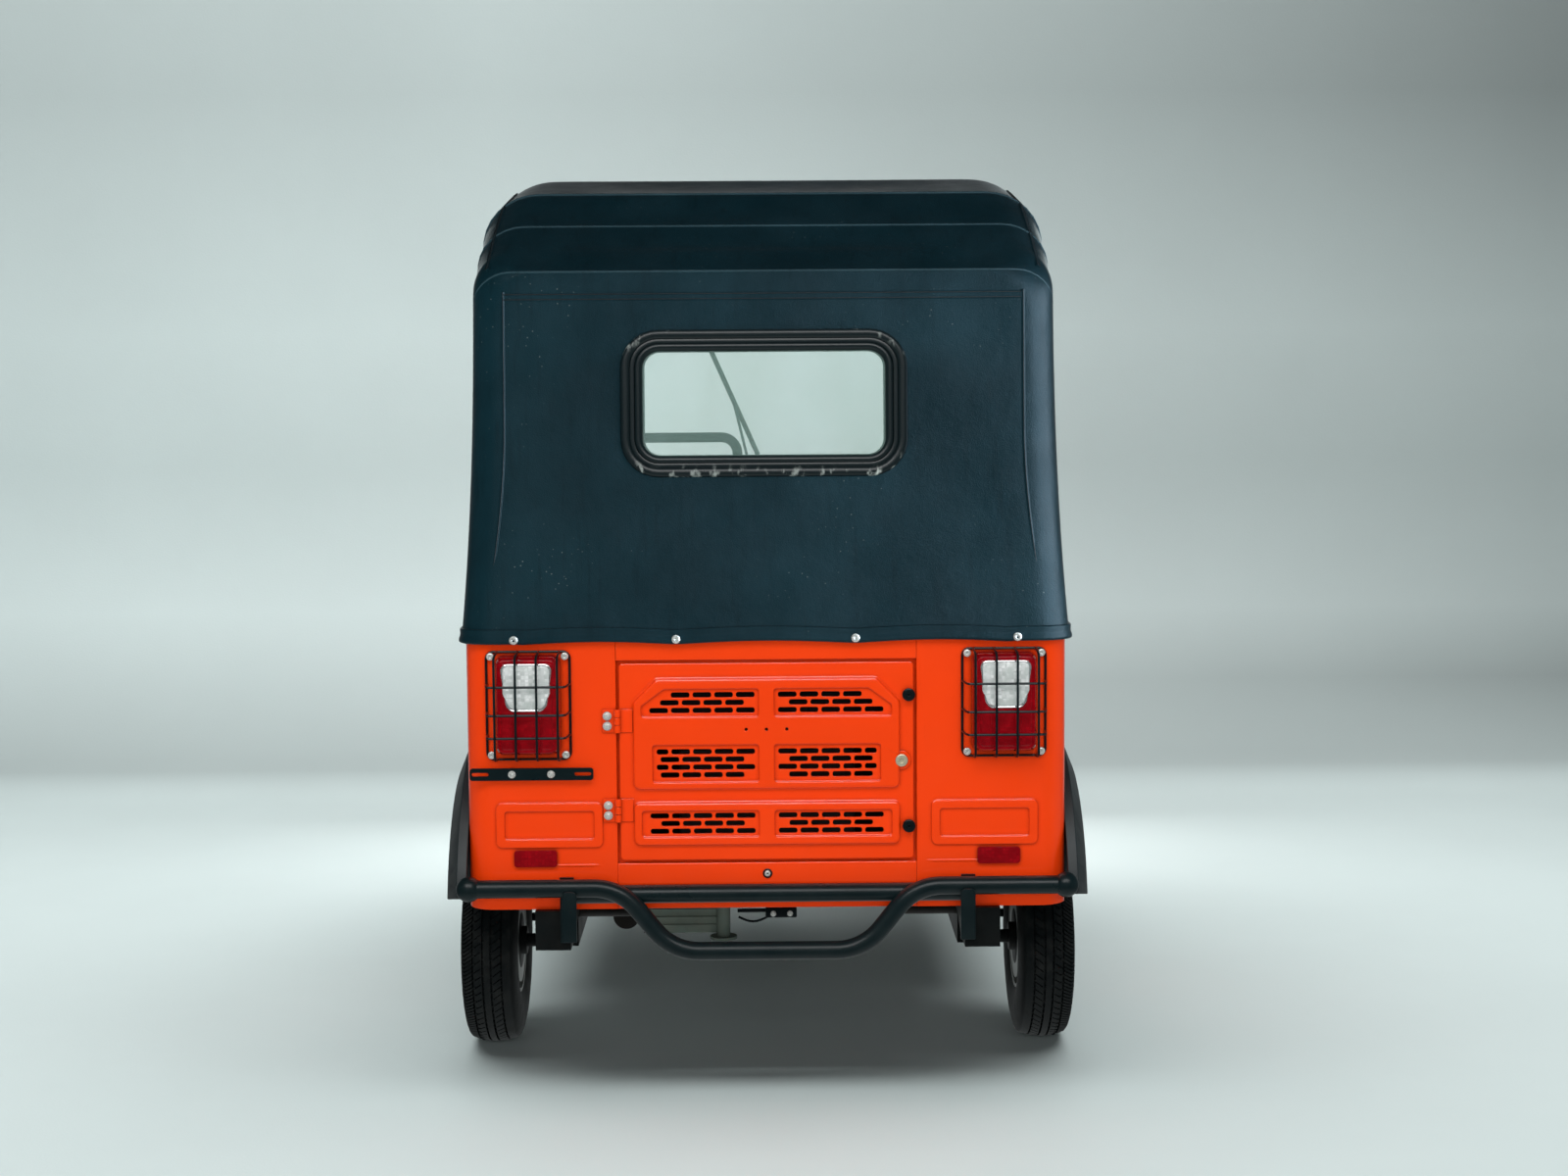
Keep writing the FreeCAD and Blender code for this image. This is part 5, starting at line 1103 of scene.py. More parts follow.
                    # the thread rises and sinks once a stitch
                    rise = h + (0.0003 if len(line) % 2 else -0.0001)
                    place = a.lerp(b, k / max(1, round((b - a).length / 0.0028)))
                    line.append(place + across * side * w * 0.62 + way.normalized() * rise)
                    ways.append(way)
            rows.append(swept("row", line, round_section(0.0010, 6), up=ways))
        thread = finished(joined(rows, name + "_thread"), name + "_thread", "thread", smooth=SOFT)
        return [finished(piece, name, "canvas", smooth=SOFT), thread]

    def rear_point(self, x, z):
        """A point on the rear panel's outer face."""
        belly = math.sin(math.pi * (z - HEM_Z) / (1.6 - HEM_Z)) * max(0.0, 1 - (x / 0.53) ** 2)
        return Vector((x, rear_y(z) - 0.004 * belly, z))

    def seams(self):
        made = []
        out = Vector((0, 1, WALL_LEAN))
        across = [self.rear_point(0.508 - 1.016 * i / 24, 1.556) for i in range(25)]
        made += self.strip("hood_seam_rear", across, [out] * 25)
        for side, name in ((1, "left"), (-1, "right")):
            drop, normals = [], []
            for i in range(31):
                z = 1.566 - (1.566 - 0.906) * i / 30
                fall = max(0.0, (1.30 - z) / 0.394)
                x = 0.509 + 0.046 * fall**1.8
                turn = max(0.0, (x - 0.5117) / REAR_CORNER)
                round_off = REAR_CORNER * (1 - math.sqrt(max(0.0, 1 - turn**2)))
                drop.append(Vector((side * x, rear_y(z) - round_off, z)))
                normals.append(Vector((side * turn, math.sqrt(max(0.01, 1 - turn**2)), WALL_LEAN)))
            made += self.strip(f"hood_seam_{name}", drop, normals, 0.007, (0,))
            ridge, normals = [], []
            for bay, ((ya, za, ha, ca), (yb, zb, hb, cb)) in enumerate(zip(HOOPS, HOOPS[1:])):
                # the seam starts where the cloth has come round the rear corner
                for k in range(2 if bay == 0 else 0, 8):
                    t = k / 8
                    y, z = ya + (yb - ya) * t, za + (zb - za) * t
                    half, corner = ha + (hb - ha) * t, ca + (cb - ca) * t
                    lean = math.radians(52)
                    x = half - corner + corner * math.cos(lean)
                    ridge.append(Vector((side * x, y, z - corner + corner * math.sin(lean))))
                    normals.append(Vector((side * math.cos(lean), 0.2, math.sin(lean))))
            made += self.strip(f"hood_roof_seam_{name}", ridge, normals, 0.010)
        return made

    def hem_path(self):
        """Bottom edge of the hood round the rear, from one doorway to the other, with its outward direction."""
        path, out = [], []
        foot = rear_y(HEM_Z)
        half = HOOPS[0][2] + BASE_SPREAD
        for i in range(13):
            path.append(Vector((half, 0.562 + (foot - REAR_CORNER - 0.562) * i / 12, HEM_Z)))
            out.append(Vector((1, 0, 0)))
        for i in range(1, 9):
            a = math.pi / 2 * i / 9
            way = Vector((math.cos(a), math.sin(a), 0))
            path.append(Vector((half - REAR_CORNER, foot - REAR_CORNER, HEM_Z)) + way * REAR_CORNER)
            out.append(way)
        for i in range(25):
            path.append(Vector(((half - REAR_CORNER) * (1 - i / 24), foot, HEM_Z)))
            out.append(Vector((0, 1, 0)))
        path += [Vector((-p.x, p.y, p.z)) for p in reversed(path[:-1])]
        out += [Vector((-o.x, o.y, o.z)) for o in reversed(out[:-1])]
        for point, way in zip(path, out):
            rear = abs(way.y) > 0.7
            lift = between_studs(point.x if rear else point.y, STUD_X if rear else STUD_Y)
            point.z += 0.006 * lift
        return path, out

    def hem(self):
        """Hem band: the canvas doubled over a welt, fat at the bottom and turned under at the top."""
        path, out = self.hem_path()
        h = sizes().hem_height
        points, faces = [], []
        section = [
            (-0.0022, -0.003), (0.001, -0.0055), (0.0042, -0.004), (0.005, 0.0), (0.0042, 0.004), (0.0024, 0.008),
            (0.0018, h * 0.55), (0.0024, h * 0.8), (0.002, h - 0.002), (0.0, h), (-0.0022, h - 0.001),
        ]
        count = len(section)
        for point, way in zip(path, out):
            points += [point + way * a + Vector((0, 0, b)) for a, b in section]
        for i in range(len(path) - 1):
            for k in range(count):
                m = (k + 1) % count
                faces.append((i * count + k, (i + 1) * count + k, (i + 1) * count + m, i * count + m))
        faces.append(tuple(reversed(range(count))))
        faces.append(tuple((len(path) - 1) * count + k for k in range(count)))
        piece = mesh_piece("hood_hem", points, faces)
        tidy_mesh(piece)
        return finished(piece, "hood_hem", "canvas", smooth=math.radians(70))

    def studs(self):
        """Turn studs of plated brass: a domed ring round a dimple, modelled once and copied."""
        stud = dome_head("stud", 0.0086, 0.0045, dimple=0.35)
        foot = rear_y(HEM_Z + 0.006) + 0.0028
        half = HOOPS[0][2] + BASE_SPREAD + 0.0028
        places = [facing(x, foot, HEM_Z + 0.005, (0, 1, 0.05)) for x in STUD_X]
        places += [facing(s * half, y, HEM_Z + 0.007, (s, 0, 0.05)) for y in STUD_Y for s in (1, -1)]
        return scatter(stud, places, "hood_studs", "plated")


def dome_head(name, radius, height, dimple=0.0, sides=20):
    """A domed fastener standing on z 0: a disc drawn up, rounded over, with a dimple or flat top."""
    piece = disc(radius, height, sides, height / 2)
    in_edit(piece, lambda f: f.normal.z > 0.9)
    bpy.ops.mesh.inset(thickness=radius * 0.28)
    bpy.ops.transform.translate(value=(0, 0, height * 0.22))
    if dimple:
        bpy.ops.mesh.inset(thickness=radius * (0.72 - dimple))
        drawn(z=-height * 0.8)
    out_of_edit()
    bevelled(piece, height * 0.22)
    piece.name = name
    return piece


def hex_head(name, across, height, washer=1.5):
    """A hexagon bolt head on its washer, standing on z 0."""
    ring = disc(across / 2 * washer, height * 0.22, 24, height * 0.11)
    bevelled(ring, height * 0.05, 1)
    head = disc(across / 2 / math.cos(math.pi / 6), height * 0.78, 6, height * 0.61)
    in_edit(head, lambda f: f.normal.z > 0.9)
    bpy.ops.mesh.inset(thickness=across * 0.06)
    bpy.ops.transform.translate(value=(0, 0, height * 0.09))
    out_of_edit()
    bevelled(head, height * 0.05, 1)
    return joined([ring, head], name)


def scatter(piece, places, name, finish, body="vehicle"):
    """Copies a small piece to its places and joins the copies."""
    made = [copied(piece, place) for place in places]
    bpy.data.objects.remove(piece)
    return finished(joined(made, name), name, finish, body)


# Body


class RICKSHAW_OT_body(bpy.types.Operator):
    """Dresses the pressed steel body: panels, engine door, cowl, floor and their bolts"""

    bl_idname = "rickshaw.body"
    bl_label = "Body Panels"
    bl_options = {"REGISTER", "UNDO"}

    def execute(self, context):
        edge = sizes().edge_round / MM
        for node in ("quarter_panel_left", "quarter_panel_right", "rear_centre_panel", "engine_door"):
            bpy.data.collections["enamel_only"].objects.link(
                dressed(node, "body_enamel", edge, 3, pressed=True)
            )
        bpy.data.collections["enamel_only"].objects.link(dressed("door_hinges", "body_enamel", 0.4))
        dressed_all([
            ("front_cowl", "body_enamel", "body_paint", 2.0),
            ("door_lock", "lock_brass", "plated_steel", 0.5),
            ("door_buffers", "seal_rubber", "seal_rubber", 1.2),
            ("dash_panel", "black_plastic", "black_plastic", 2.5),
            ("floor_pan", "floor_paint", "floor_paint", 1.5),
            ("wheel_housings", "chassis_paint", "black_paint", 1.0),
            ("seat_base", "black_powder", "black_paint", 1.5),
            ("driver_seat_base", "black_powder", "black_paint", 3.0),
            ("partition", "black_powder", "black_paint", 1.0),
            ("fender_flares", "black_plastic", "black_plastic", 2.0),
        ])
        self.hinge_bolts()
        self.door_screws()
        self.creases()
        return {"FINISHED"}

    def creases(self):
        """Pressed creases along the foot of the corner panels, under the reflectors."""
        beads = []
        for x_from, x_to, z in ((0.318, 0.505, 0.437), (-0.300, -0.505, 0.441)):
            path = [Vector((x_from + (x_to - x_from) * i / 6, REAR_PLANE, z)) for i in range(7)]
            for k in (0, -1):
                path[k].y -= 0.0025
            section = [(-0.004, -0.001), (-0.002, 0.0012), (0.0, 0.0017), (0.002, 0.0012), (0.004, -0.001)]
            beads.append(swept("crease", path, section, up=BACK))
        finished(beads, "panel_creases", "body_enamel", smooth=SOFT)

    def hinge_bolts(self):
        bolt = hex_head("bolt", 0.011, 0.008, 1.6)
        places = [facing(0.3135, REAR_PLANE + 0.0032, z) for z in (0.735, 0.715, 0.557, 0.537)]
        scatter(bolt, places, "hinge_bolts", "plated")

    def door_screws(self):
        """The boss round the lock, the screw under the door, and the dimpled screws in the rubber buffers."""
        low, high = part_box("door_lock")
        boss = dome_head("boss", 0.0185, 0.003, sides=32)
        places = [facing((low.x + high.x) / 2, high.y - 0.0036, (low.z + high.z) / 2)]
        scatter(boss, places, "lock_boss", "body_enamel", "engine_access_door")
        keyway = dome_head("keyway", 0.0122, 0.003, dimple=0.4, sides=32)
        places = [facing((low.x + high.x) / 2, high.y + 0.0012, (low.z + high.z) / 2)]
        scatter(keyway, places, "lock_keyway", "lock_brass", "engine_access_door")
        washer = dome_head("washer", 0.0095, 0.0016)
        scatter(washer, [facing(0, REAR_PLANE, 0.418)], "sill_washer", "seal_rubber")
        screw = dome_head("screw", 0.006, 0.004, dimple=0.3)
        scatter(screw, [facing(0, REAR_PLANE, 0.418)], "sill_screw", "plated")
        screw = dome_head("screw", 0.0128, 0.005, dimple=0.28, sides=28)
        places = [facing(-0.280, 1.2755, z) for z in (0.774, 0.513)]
        scatter(screw, places, "buffer_screws", "black_gloss", "engine_access_door")


# Rear window


def rounded_outline(width, height, corner, steps=8):
    """Outline of a rounded rectangle about the origin, in X and Z."""
    points = []
    centres = [(1, 1, 0), (-1, 1, 90), (-1, -1, 180), (1, -1, 270)]
    for sx, sz, start in centres:
        for i in range(steps + 1):
            a = math.radians(start + 90 * i / steps)
            x = sx * (width / 2 - corner) + corner * math.cos(a)
            z = sz * (height / 2 - corner) + corner * math.sin(a)
            points.append((x, z))
    return points


def bead(name, width, height, corner, section, turn):
    """A moulded bead round a rounded rectangle, its section's second number pointing out of the wall."""
    path = [Vector((x, 0, z)) for x, z in rounded_outline(width, height, corner)]
    piece = swept(name, path, section, closed=True, up=BACK)
    piece.data.transform(turn)
    return piece


SEAL_RINGS = (
    # width, height and corner of each bead, and its section: outer bead, filler strip, inner bead, lip, web
    (
        (0.545, 0.271, 0.066),
        [
            (-0.0075, -0.001), (-0.0085, 0.003), (-0.006, 0.007), (-0.001, 0.0085),
            (0.005, 0.0078), (0.009, 0.005), (0.0105, 0.0005), (0.006, -0.002),
        ],
    ),
    ((0.516, 0.243, 0.052), [(-0.0035, 0.0), (-0.004, 0.0042), (0.0, 0.0058), (0.004, 0.0042), (0.0035, 0.0)]),
    (
        (0.493, 0.222, 0.042),
        [
            (-0.007, -0.006), (-0.0075, 0.001), (-0.004, 0.0062), (0.0015, 0.0066),
            (0.0065, 0.0035), (0.009, -0.002), (0.009, -0.006),
        ],
    ),
    (
        (0.486, 0.219, 0.040),
        [(-0.005, -0.012), (-0.005, -0.006), (0.006, -0.006), (0.009, -0.009), (0.006, -0.0125)],
    ),
    (
        (0.498, 0.226, 0.044),
        [(-0.010, -0.017), (-0.010, -0.006), (0.010, -0.006), (0.012, -0.010), (0.010, -0.017)],
    ),
)


class RICKSHAW_OT_rear_window(bpy.types.Operator):
    """Adds the rear window: a double-beaded rubber seal with its filler strip, and the glass"""

    bl_idname = "rickshaw.rear_window"
    bl_label = "Rear Window"
    bl_options = {"REGISTER", "UNDO"}

    def execute(self, context):
        turn = Matrix.Translation((0, rear_y(WINDOW_Z), WINDOW_Z)) @ Matrix.Rotation(math.atan(WALL_LEAN), 4, "X")
        rings = [bead("ring", *size, section, turn) for size, section in SEAL_RINGS]
        finished(rings, "window_seal", "window_seal", replaces=["rear_window_seal"], smooth=SOFT)
        painted("rear_window_glass", "glass")
        return {"FINISHED"}


# Lamps


def lamp_shell(name, width, height, depth, corner, draft, place, foot=1.0, knee=0.0):
    """A moulded lamp standing on a panel: a plate with rounded corners, drawn out and tapered.

    foot is the share of the width left at the bottom, and knee the height where the narrowing starts.
    """
    bpy.ops.mesh.primitive_plane_add(size=1, rotation=(math.radians(-90), 0, 0))
    piece = bpy.context.object
    piece.scale = (width, height, 1)
    settle(piece)
    if foot < 1.0:
        in_edit(piece, None, "EDGE")
        bpy.ops.mesh.subdivide(number_cuts=1)
        out_of_edit()
        in_edit(piece, lambda v: abs(v.co.z) < 0.001, "VERT")
        bpy.ops.transform.translate(value=(0, 0, knee))
        out_of_edit()
        in_edit(piece, lambda v: v.co.z < -0.4 * height, "VERT")
        bpy.ops.transform.resize(value=(foot, 1, 1), center_override=(0, 0, 0))
        out_of_edit()
    in_edit(piece, lambda v: abs(v.co.z) > 0.4 * height and abs(v.co.x) > 0.3 * width * foot, "VERT")
    bpy.ops.mesh.bevel(offset=corner, segments=5, affect="VERTICES")
    bpy.ops.mesh.select_mode(type="FACE")
    bpy.ops.mesh.select_all(action="SELECT")
    drawn(y=depth * 0.72)
    bpy.ops.transform.resize(value=(1 - draft * 0.7, 1, 1 - draft * 0.5))
    drawn(y=depth * 0.28)
    bpy.ops.transform.resize(value=(1 - draft, 1, 1 - draft * 0.7))
    out_of_edit()
    piece.data.transform(Matrix.Translation(place))
    tidy_mesh(piece)
    piece.name = name
    return piece


class RICKSHAW_OT_lamps(bpy.types.Operator):
    """Adds the lamps: tail lamps in their cages, reflectors, headlamps and indicators"""

    bl_idname = "rickshaw.lamps"
    bl_label = "Lamps"
    bl_options = {"REGISTER", "UNDO"}

    def execute(self, context):
        shells, lenses, rims = [], [], []
        for side in (1, -1):
            x = side * LAMP_X
            body = lamp_shell("tail_body", 0.129, 0.198, 0.040, 0.016, 0.07, (x, REAR_PLANE, 0.759))
            # a step runs round the face, and the clear lens stands in the upper half
            in_edit(body, lambda f: f.normal.y > 0.95)
            bpy.ops.mesh.inset(thickness=0.007)
            drawn(y=0.0015)
            out_of_edit()
            bevelled(body, 0.0035, 3)
            shells.append(body)
            spot = (x, REAR_PLANE + 0.0395, CLEAR_LENS_Z)
            lens = lamp_shell("clear", 0.094, 0.088, 0.006, 0.011, 0.05, spot, foot=0.70, knee=-0.012)
            bevelled(lens, 0.002)
            lenses.append(lens)
            outline = rounded_outline(0.096, 0.090, 0.012, 5)
            path = [Vector((x + px, REAR_PLANE + 0.0425, CLEAR_LENS_Z + pz)) for px, pz in outline]
            for point in path:
                below = max(0.0, (0.785 - point.z) / 0.033)
                point.x = x + (point.x - x) * (1 - 0.30 * min(1.0, below))
            rims.append(swept("rim", path, round_section(0.0019, 8), True, BACK))
            for dx in (-0.03, 0.03):
                # ribs stand in the red part under the clear lens
                shares = (0, 0.5, 1)
                path = [Vector((x + dx * (1 - 0.1 * t), REAR_PLANE + 0.0415, 0.742 - 0.070 * t)) for t in shares]
                lenses.append(swept("rib", path, round_section(0.0016, 6), up=BACK))
                lenses[-1]["red"] = True
        reds = [p for p in lenses if p.get("red")]
        clears = [p for p in lenses if not p.get("red")]
        finished(shells + reds, "tail_lamps_red", "red_lens", replaces=["tail_lamps"])
        finished(clears, "tail_lamps_clear", "clear_lens")
        finished(rims, "tail_lamp_rims", "chrome")
        self.cages()
        dressed("reflectors", "red_lens", 1.0)
        dressed("plate_bracket", "black_powder", 0.7)
        self.guard_bolts()
        self.front()
        return {"FINISHED"}

    def cages(self):
        """Wire cages of the tail lamps: a bent rim, and wires that bow out over the lamp and lean in from it."""
        wire, made = round_section(0.0024, 8), []
        width, height, deep = 0.164, 0.213, 0.058
        # share of the depth, and how far the wire has leant in towards the middle
        bow = [(0.0, 0.0), (0.35, 0.003), (0.7, 0.006), (0.9, 0.010), (0.98, 0.016), (1.0, 0.026)]
        wires = [(share, True) for share in (-0.38, -0.13, 0.12, 0.37)]
        wires += [(share, False) for share in (-0.27, -0.06, 0.20)]
        for side in (1, -1):
            x, z, y = side * LAMP_X, GUARD_Z, REAR_PLANE + 0.0025
            made.append(bead("rim", width, height, 0.014, wire, Matrix.Translation((x, y, z))))
            for share, upright in wires:
                half = (height if upright else width) / 2
                reach = [(-half + lean * 0.6, out) for out, lean in bow]
                reach += [(half - lean * 0.6, out) for out, lean in reversed(bow)]
                if upright:
                    path = [Vector((x + share * width, y + out * deep, z + along)) for along, out in reach]
                else:
                    low = deep - 0.003
                    path = [Vector((x + along, y + out * low, z + share * height)) for along, out in reach]
                made.append(swept("wire", path, wire, up=Vector((1, 0, 0)) if upright else UP))
        finished(made, "lamp_cages", "black_powder", replaces=["lamp_guards"])

    def guard_bolts(self):
        bolt = dome_head("bolt", 0.0075, 0.005, dimple=0.3)
        places = []
        for side in (1, -1):
            for dx in (-0.073, 0.073):
                places += [facing(side * LAMP_X + dx, REAR_PLANE + 0.0065, z) for z in (0.855, 0.660)]
        scatter(bolt, places, "guard_bolts", "plated")
        bolt = hex_head("bolt", 0.010, 0.006, 1.5)
        places = [facing(0.463 + dx, REAR_PLANE + 0.0142, 0.622) for dx in (-0.0385, 0.0385)]
        scatter(bolt, places, "plate_bolts", "plated")

    def front(self):
        """Headlamps and indicators: a bezel, a domed lens and the reflector behind it."""
        dressed("headlamps", "chrome", 1.5, name="headlamp_shells")
        lenses, ambers = [], []
        rows = (
            # where the dome goes, its middle and radius, the plane of its rim, and how far it is flattened
            (lenses, 0.300, 0.690, 0.066, -1.2455, 0.24),
            (ambers, 0.395, 0.850, 0.030, -1.183, 0.42),
        )
        for side in (1, -1):
            for domes, x, z, radius, face_y, flat in rows:
                middle = (side * x, face_y, z)
                bpy.ops.mesh.primitive_uv_sphere_add(segments=36, ring_count=18, radius=radius, location=middle)
                dome = settle(bpy.context.object)
                in_edit(dome, lambda f: f.calc_center_median().y > face_y)
                bpy.ops.mesh.delete(type="FACE")
                bpy.ops.mesh.select_all(action="SELECT")
                bpy.ops.transform.resize(value=(1, flat, 1), center_override=middle)
                out_of_edit()
                domes.append(modify(dome, "SOLIDIFY", thickness=0.002))
        finished(lenses, "headlamp_lenses", "head_lens")
        dressed("front_indicators", "black_plastic", 1.0, name="indicator_shells")
        finished(ambers, "indicator_lenses", "amber_lens")


# Wheels

TYRE_SECTION = [
    # share of half width, radius: from the bead round the sidewall to the crown
    (0.86, 0.108), (0.93, 0.118), (0.985, 0.134), (1.0, 0.150), (0.985, 0.166), (0.955, 0.180),
    (0.915, 0.190), (0.87, 0.1965), (0.80, 0.2015), (0.66, 0.2043), (0.535, 0.2062), (0.475, 0.2069),
    (0.34, 0.2083), (0.21, 0.2092), (0.18, 0.2095), (0.11, 0.2099),
]


class RICKSHAW_OT_wheels(bpy.types.Operator):
    """Adds the tyres with their tread, modelled once and copied, and dresses the rims"""

    bl_idname = "rickshaw.wheels"
    bl_label = "Tyres and Rims"
    bl_options = {"REGISTER", "UNDO"}

    def execute(self, context):
        master = self.tread_master()
        for node, body, x, y, _ in WHEELS:
            # the plainer shoulder faces the vehicle on both sides
            flip = Matrix.Scale(-1, 4, (1, 0, 0)) if x < 0 else Matrix.Identity(4)
            piece = copied(master, Matrix.Translation((x, y, AXLE_Z)) @ flip)
            finished(piece, node + "_treaded", "tyre", body, [node], math.radians(28))
        bpy.data.objects.remove(master)
        for node in ("front_rim", "rear_rim_left", "rear_rim_right"):
            dressed(node, "rim_paint", 1.0)
        self.wheel_nuts()
        return {"FINISHED"}

    def tread_master(self):
        """One tyre about the X axis: a short wedge of its section with its blocks cut, repeated all round."""
        half = 0.058
        side = [(s * half, r) for s, r in TYRE_SECTION]
        section = side + [(-x, r) for x, r in reversed(side)]
        pitch = 2 * math.pi / sizes().tread_pitches
        steps = 6
        points, faces = [], []
        count = len(section)
        for i in range(steps + 1):
            for x, r in section:
                # the sipes run slantwise from shoulder to shoulder, so the whole wedge leans over
                a = pitch * (i / steps - 1.9 * max(-1.0, min(1.0, x / half / 0.8)))
                points.append((x, r * math.cos(a), r * math.sin(a)))
        for i in range(steps):
            for k in range(count - 1):
                a = i * count + k
                faces.append((a, a + 1, a + count + 1, a + count))
        wedge = mesh_piece("tread_wedge", points, faces)
        tidy_mesh(wedge, outwards=False)
        depth = sizes().tread_depth
        n = len(TYRE_SECTION)

        def row_of(face):
            i, k = divmod(face.index, count - 1)
            return i, (k if k < n else count - 2 - k), k < n

        def groove(face):
            return row_of(face)[1] in (10, 14)

        def sipe(face):
            i, row, outer = row_of(face)
            if row in (11, 12):
                return i == steps - 1
            return outer and row in (7, 8, 9) and i in (1, 4)

        def centre(place):
            return tuple(round(c, 4) for c in place)

        cuts = {1.0: set(), 0.85: set()}
        for face in wedge.data.polygons:
            if groove(face) or sipe(face):
                cuts[1.0 if groove(face) else 0.85].add(centre(face.center))
        for share, centres in cuts.items():
            in_edit(wedge, lambda f: centre(f.calc_center_median()) in centres)
            bpy.ops.mesh.extrude_region_shrink_fatten(TRANSFORM_OT_shrink_fatten={"value": -depth * share})
            out_of_edit()
        turns = sizes().tread_pitches
        pieces = [copied(wedge, Matrix.Rotation(pitch * i, 4, "X")) for i in range(turns)]
        bpy.data.objects.remove(wedge)
        tyre = joined(pieces, "tyre_master")
        in_edit(tyre)
        bpy.ops.mesh.remove_doubles(threshold=0.0001)
        out_of_edit()
        # the beads turn in to the rim so that the shell is closed
        in_edit(tyre, lambda e: e.is_boundary, "EDGE")
        bpy.ops.mesh.extrude_region_move()
        bpy.ops.transform.resize(value=(0.80, 0.99, 0.99))
        out_of_edit()
        modify(tyre, "SOLIDIFY", thickness=0.004, offset=-1.0)
        tidy_mesh(tyre)
        return tyre

    def wheel_nuts(self):
        """Four nuts on the outer face of each hub."""
        for node, body, x, y, side in WHEELS:
            nut = hex_head("nut", 0.017, 0.012, 1.4)
            turns = [math.radians(45 + 90 * i) for i in range(4)]
            places = [
                facing(x + side * 0.040, y + 0.030 * math.cos(a), AXLE_Z + 0.030 * math.sin(a), (side, 0, 0))
                for a in turns
            ]
            scatter(nut, places, "nuts_" + node.replace("_tyre", ""), "plated", body)


# Seats


def stuffed(node, trim, swell, crown, slots):
    """A seat pad grown from its CAD solid's room: a smaller box is swollen by cloth, then capped."""
    low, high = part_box(node)
    size = high - low - Vector((trim, trim, trim)) * 2
    pad = block((low + high) / 2, size)
    modify(pad, "BEVEL", width=min(size) * 0.28, segments=4)
    only(pad)
    modify(pad, "REMESH", mode="VOXEL", voxel_size=0.006)
    start = [v.co.copy() for v in pad.data.vertices]
    swell_cloth(pad)
    for v, was in zip(pad.data.vertices, start):
        step = v.co - was
        if step.length > swell:
            v.co = was + step * (swell / step.length)
    shape_pad(pad, low, high, crown, slots)
    modify(pad, "SUBSURF", render_levels=1)
    return pad


def swell_cloth(pad):
    """Blows a pad up as cloth under pressure, for 20 frames."""
    only(pad)
    cloth = pad.modifiers.new("Cloth", "CLOTH")
    cloth.settings.use_pressure = True
    cloth.settings.uniform_pressure_force = 4.0
    cloth.settings.quality = 4
    cloth.settings.effector_weights.gravity = 0.0
    scene = bpy.context.scene
    cloth.point_cache.frame_start, cloth.point_cache.frame_end = 1, 20
    for step in range(1, 21):
        scene.frame_set(step)
    bpy.ops.object.modifier_apply(modifier=cloth.name)
    scene.frame_set(1)


def shape_pad(pad, low, high, crown, slots):
    """Crowns the pad's sitting face, draws its sides in, and presses sewn channels into it."""
    axis, sign = crown
    across = [i for i in range(3) if i != axis]
    size = high - low
    for v in pad.data.vertices:
        share = [(v.co[i] - low[i]) / size[i] * 2 - 1 for i in range(3)]
        front = share[axis] * sign
        if front > 0:
            for place, along, width, depth in slots:
                near = abs(share[along] - place) * size[along] / 2
                if near < width:
                    v.co[axis] -= sign * depth * eased(1 - near / width) * min(1.0, front * 1.6)
        edge = max(abs(share[across[0]]), abs(share[across[1]]))
        v.co[axis] += sign * 0.004 * max(0.0, front) * (1 - edge**2)


class RICKSHAW_OT_seats(bpy.types.Operator):
    """Adds the padded seats: the passenger bench and backrest, and the driver's seat"""

    bl_idname = "rickshaw.seats"
    bl_label = "Seats"
    bl_options = {"REGISTER", "UNDO"}

    def execute(self, context):
        swell = sizes().cushion_swell
        bench = [(-0.5 + 0.5 * i, 0, 0.012, 0.010) for i in range(3)] + [(0.1, 1, 0.012, 0.008)]
        back = [(-0.5 + 0.5 * i, 0, 0.012, 0.010) for i in range(3)] + [(0.25, 2, 0.012, 0.008)]
        drive = [(-0.34, 0, 0.010, 0.008), (0.34, 0, 0.010, 0.008)]
        rows = [
            ("bench_cushion", "passenger_cushion", 0.010, (2, 1), bench),
            ("bench_backrest", "passenger_backrest", 0.010, (1, -1), back),
            ("driver_pad", "driver_cushion", 0.009, (2, 1), drive),
            ("driver_back", "driver_backrest", 0.007, (1, -1), drive),
        ]
        for name, node, trim, crown, slots in rows:
            pad = stuffed(node, trim, swell, crown, slots)
            if node == "passenger_backrest":
                self.lean(pad, node)
            finished(pad, name, "leatherette", replaces=[node], smooth=SOFT)
        return {"FINISHED"}

    def lean(self, pad, node):
        """The backrest's box leans back by 60 mm over its height, as its CAD solid does."""
        low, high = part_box(node)
        for v in pad.data.vertices:
            share = (v.co.z - low.z) / (high.z - low.z)
            v.co.y = low.y + (v.co.y - low.y) * 0.62 + 0.045 * share


# Frame, running gear and controls


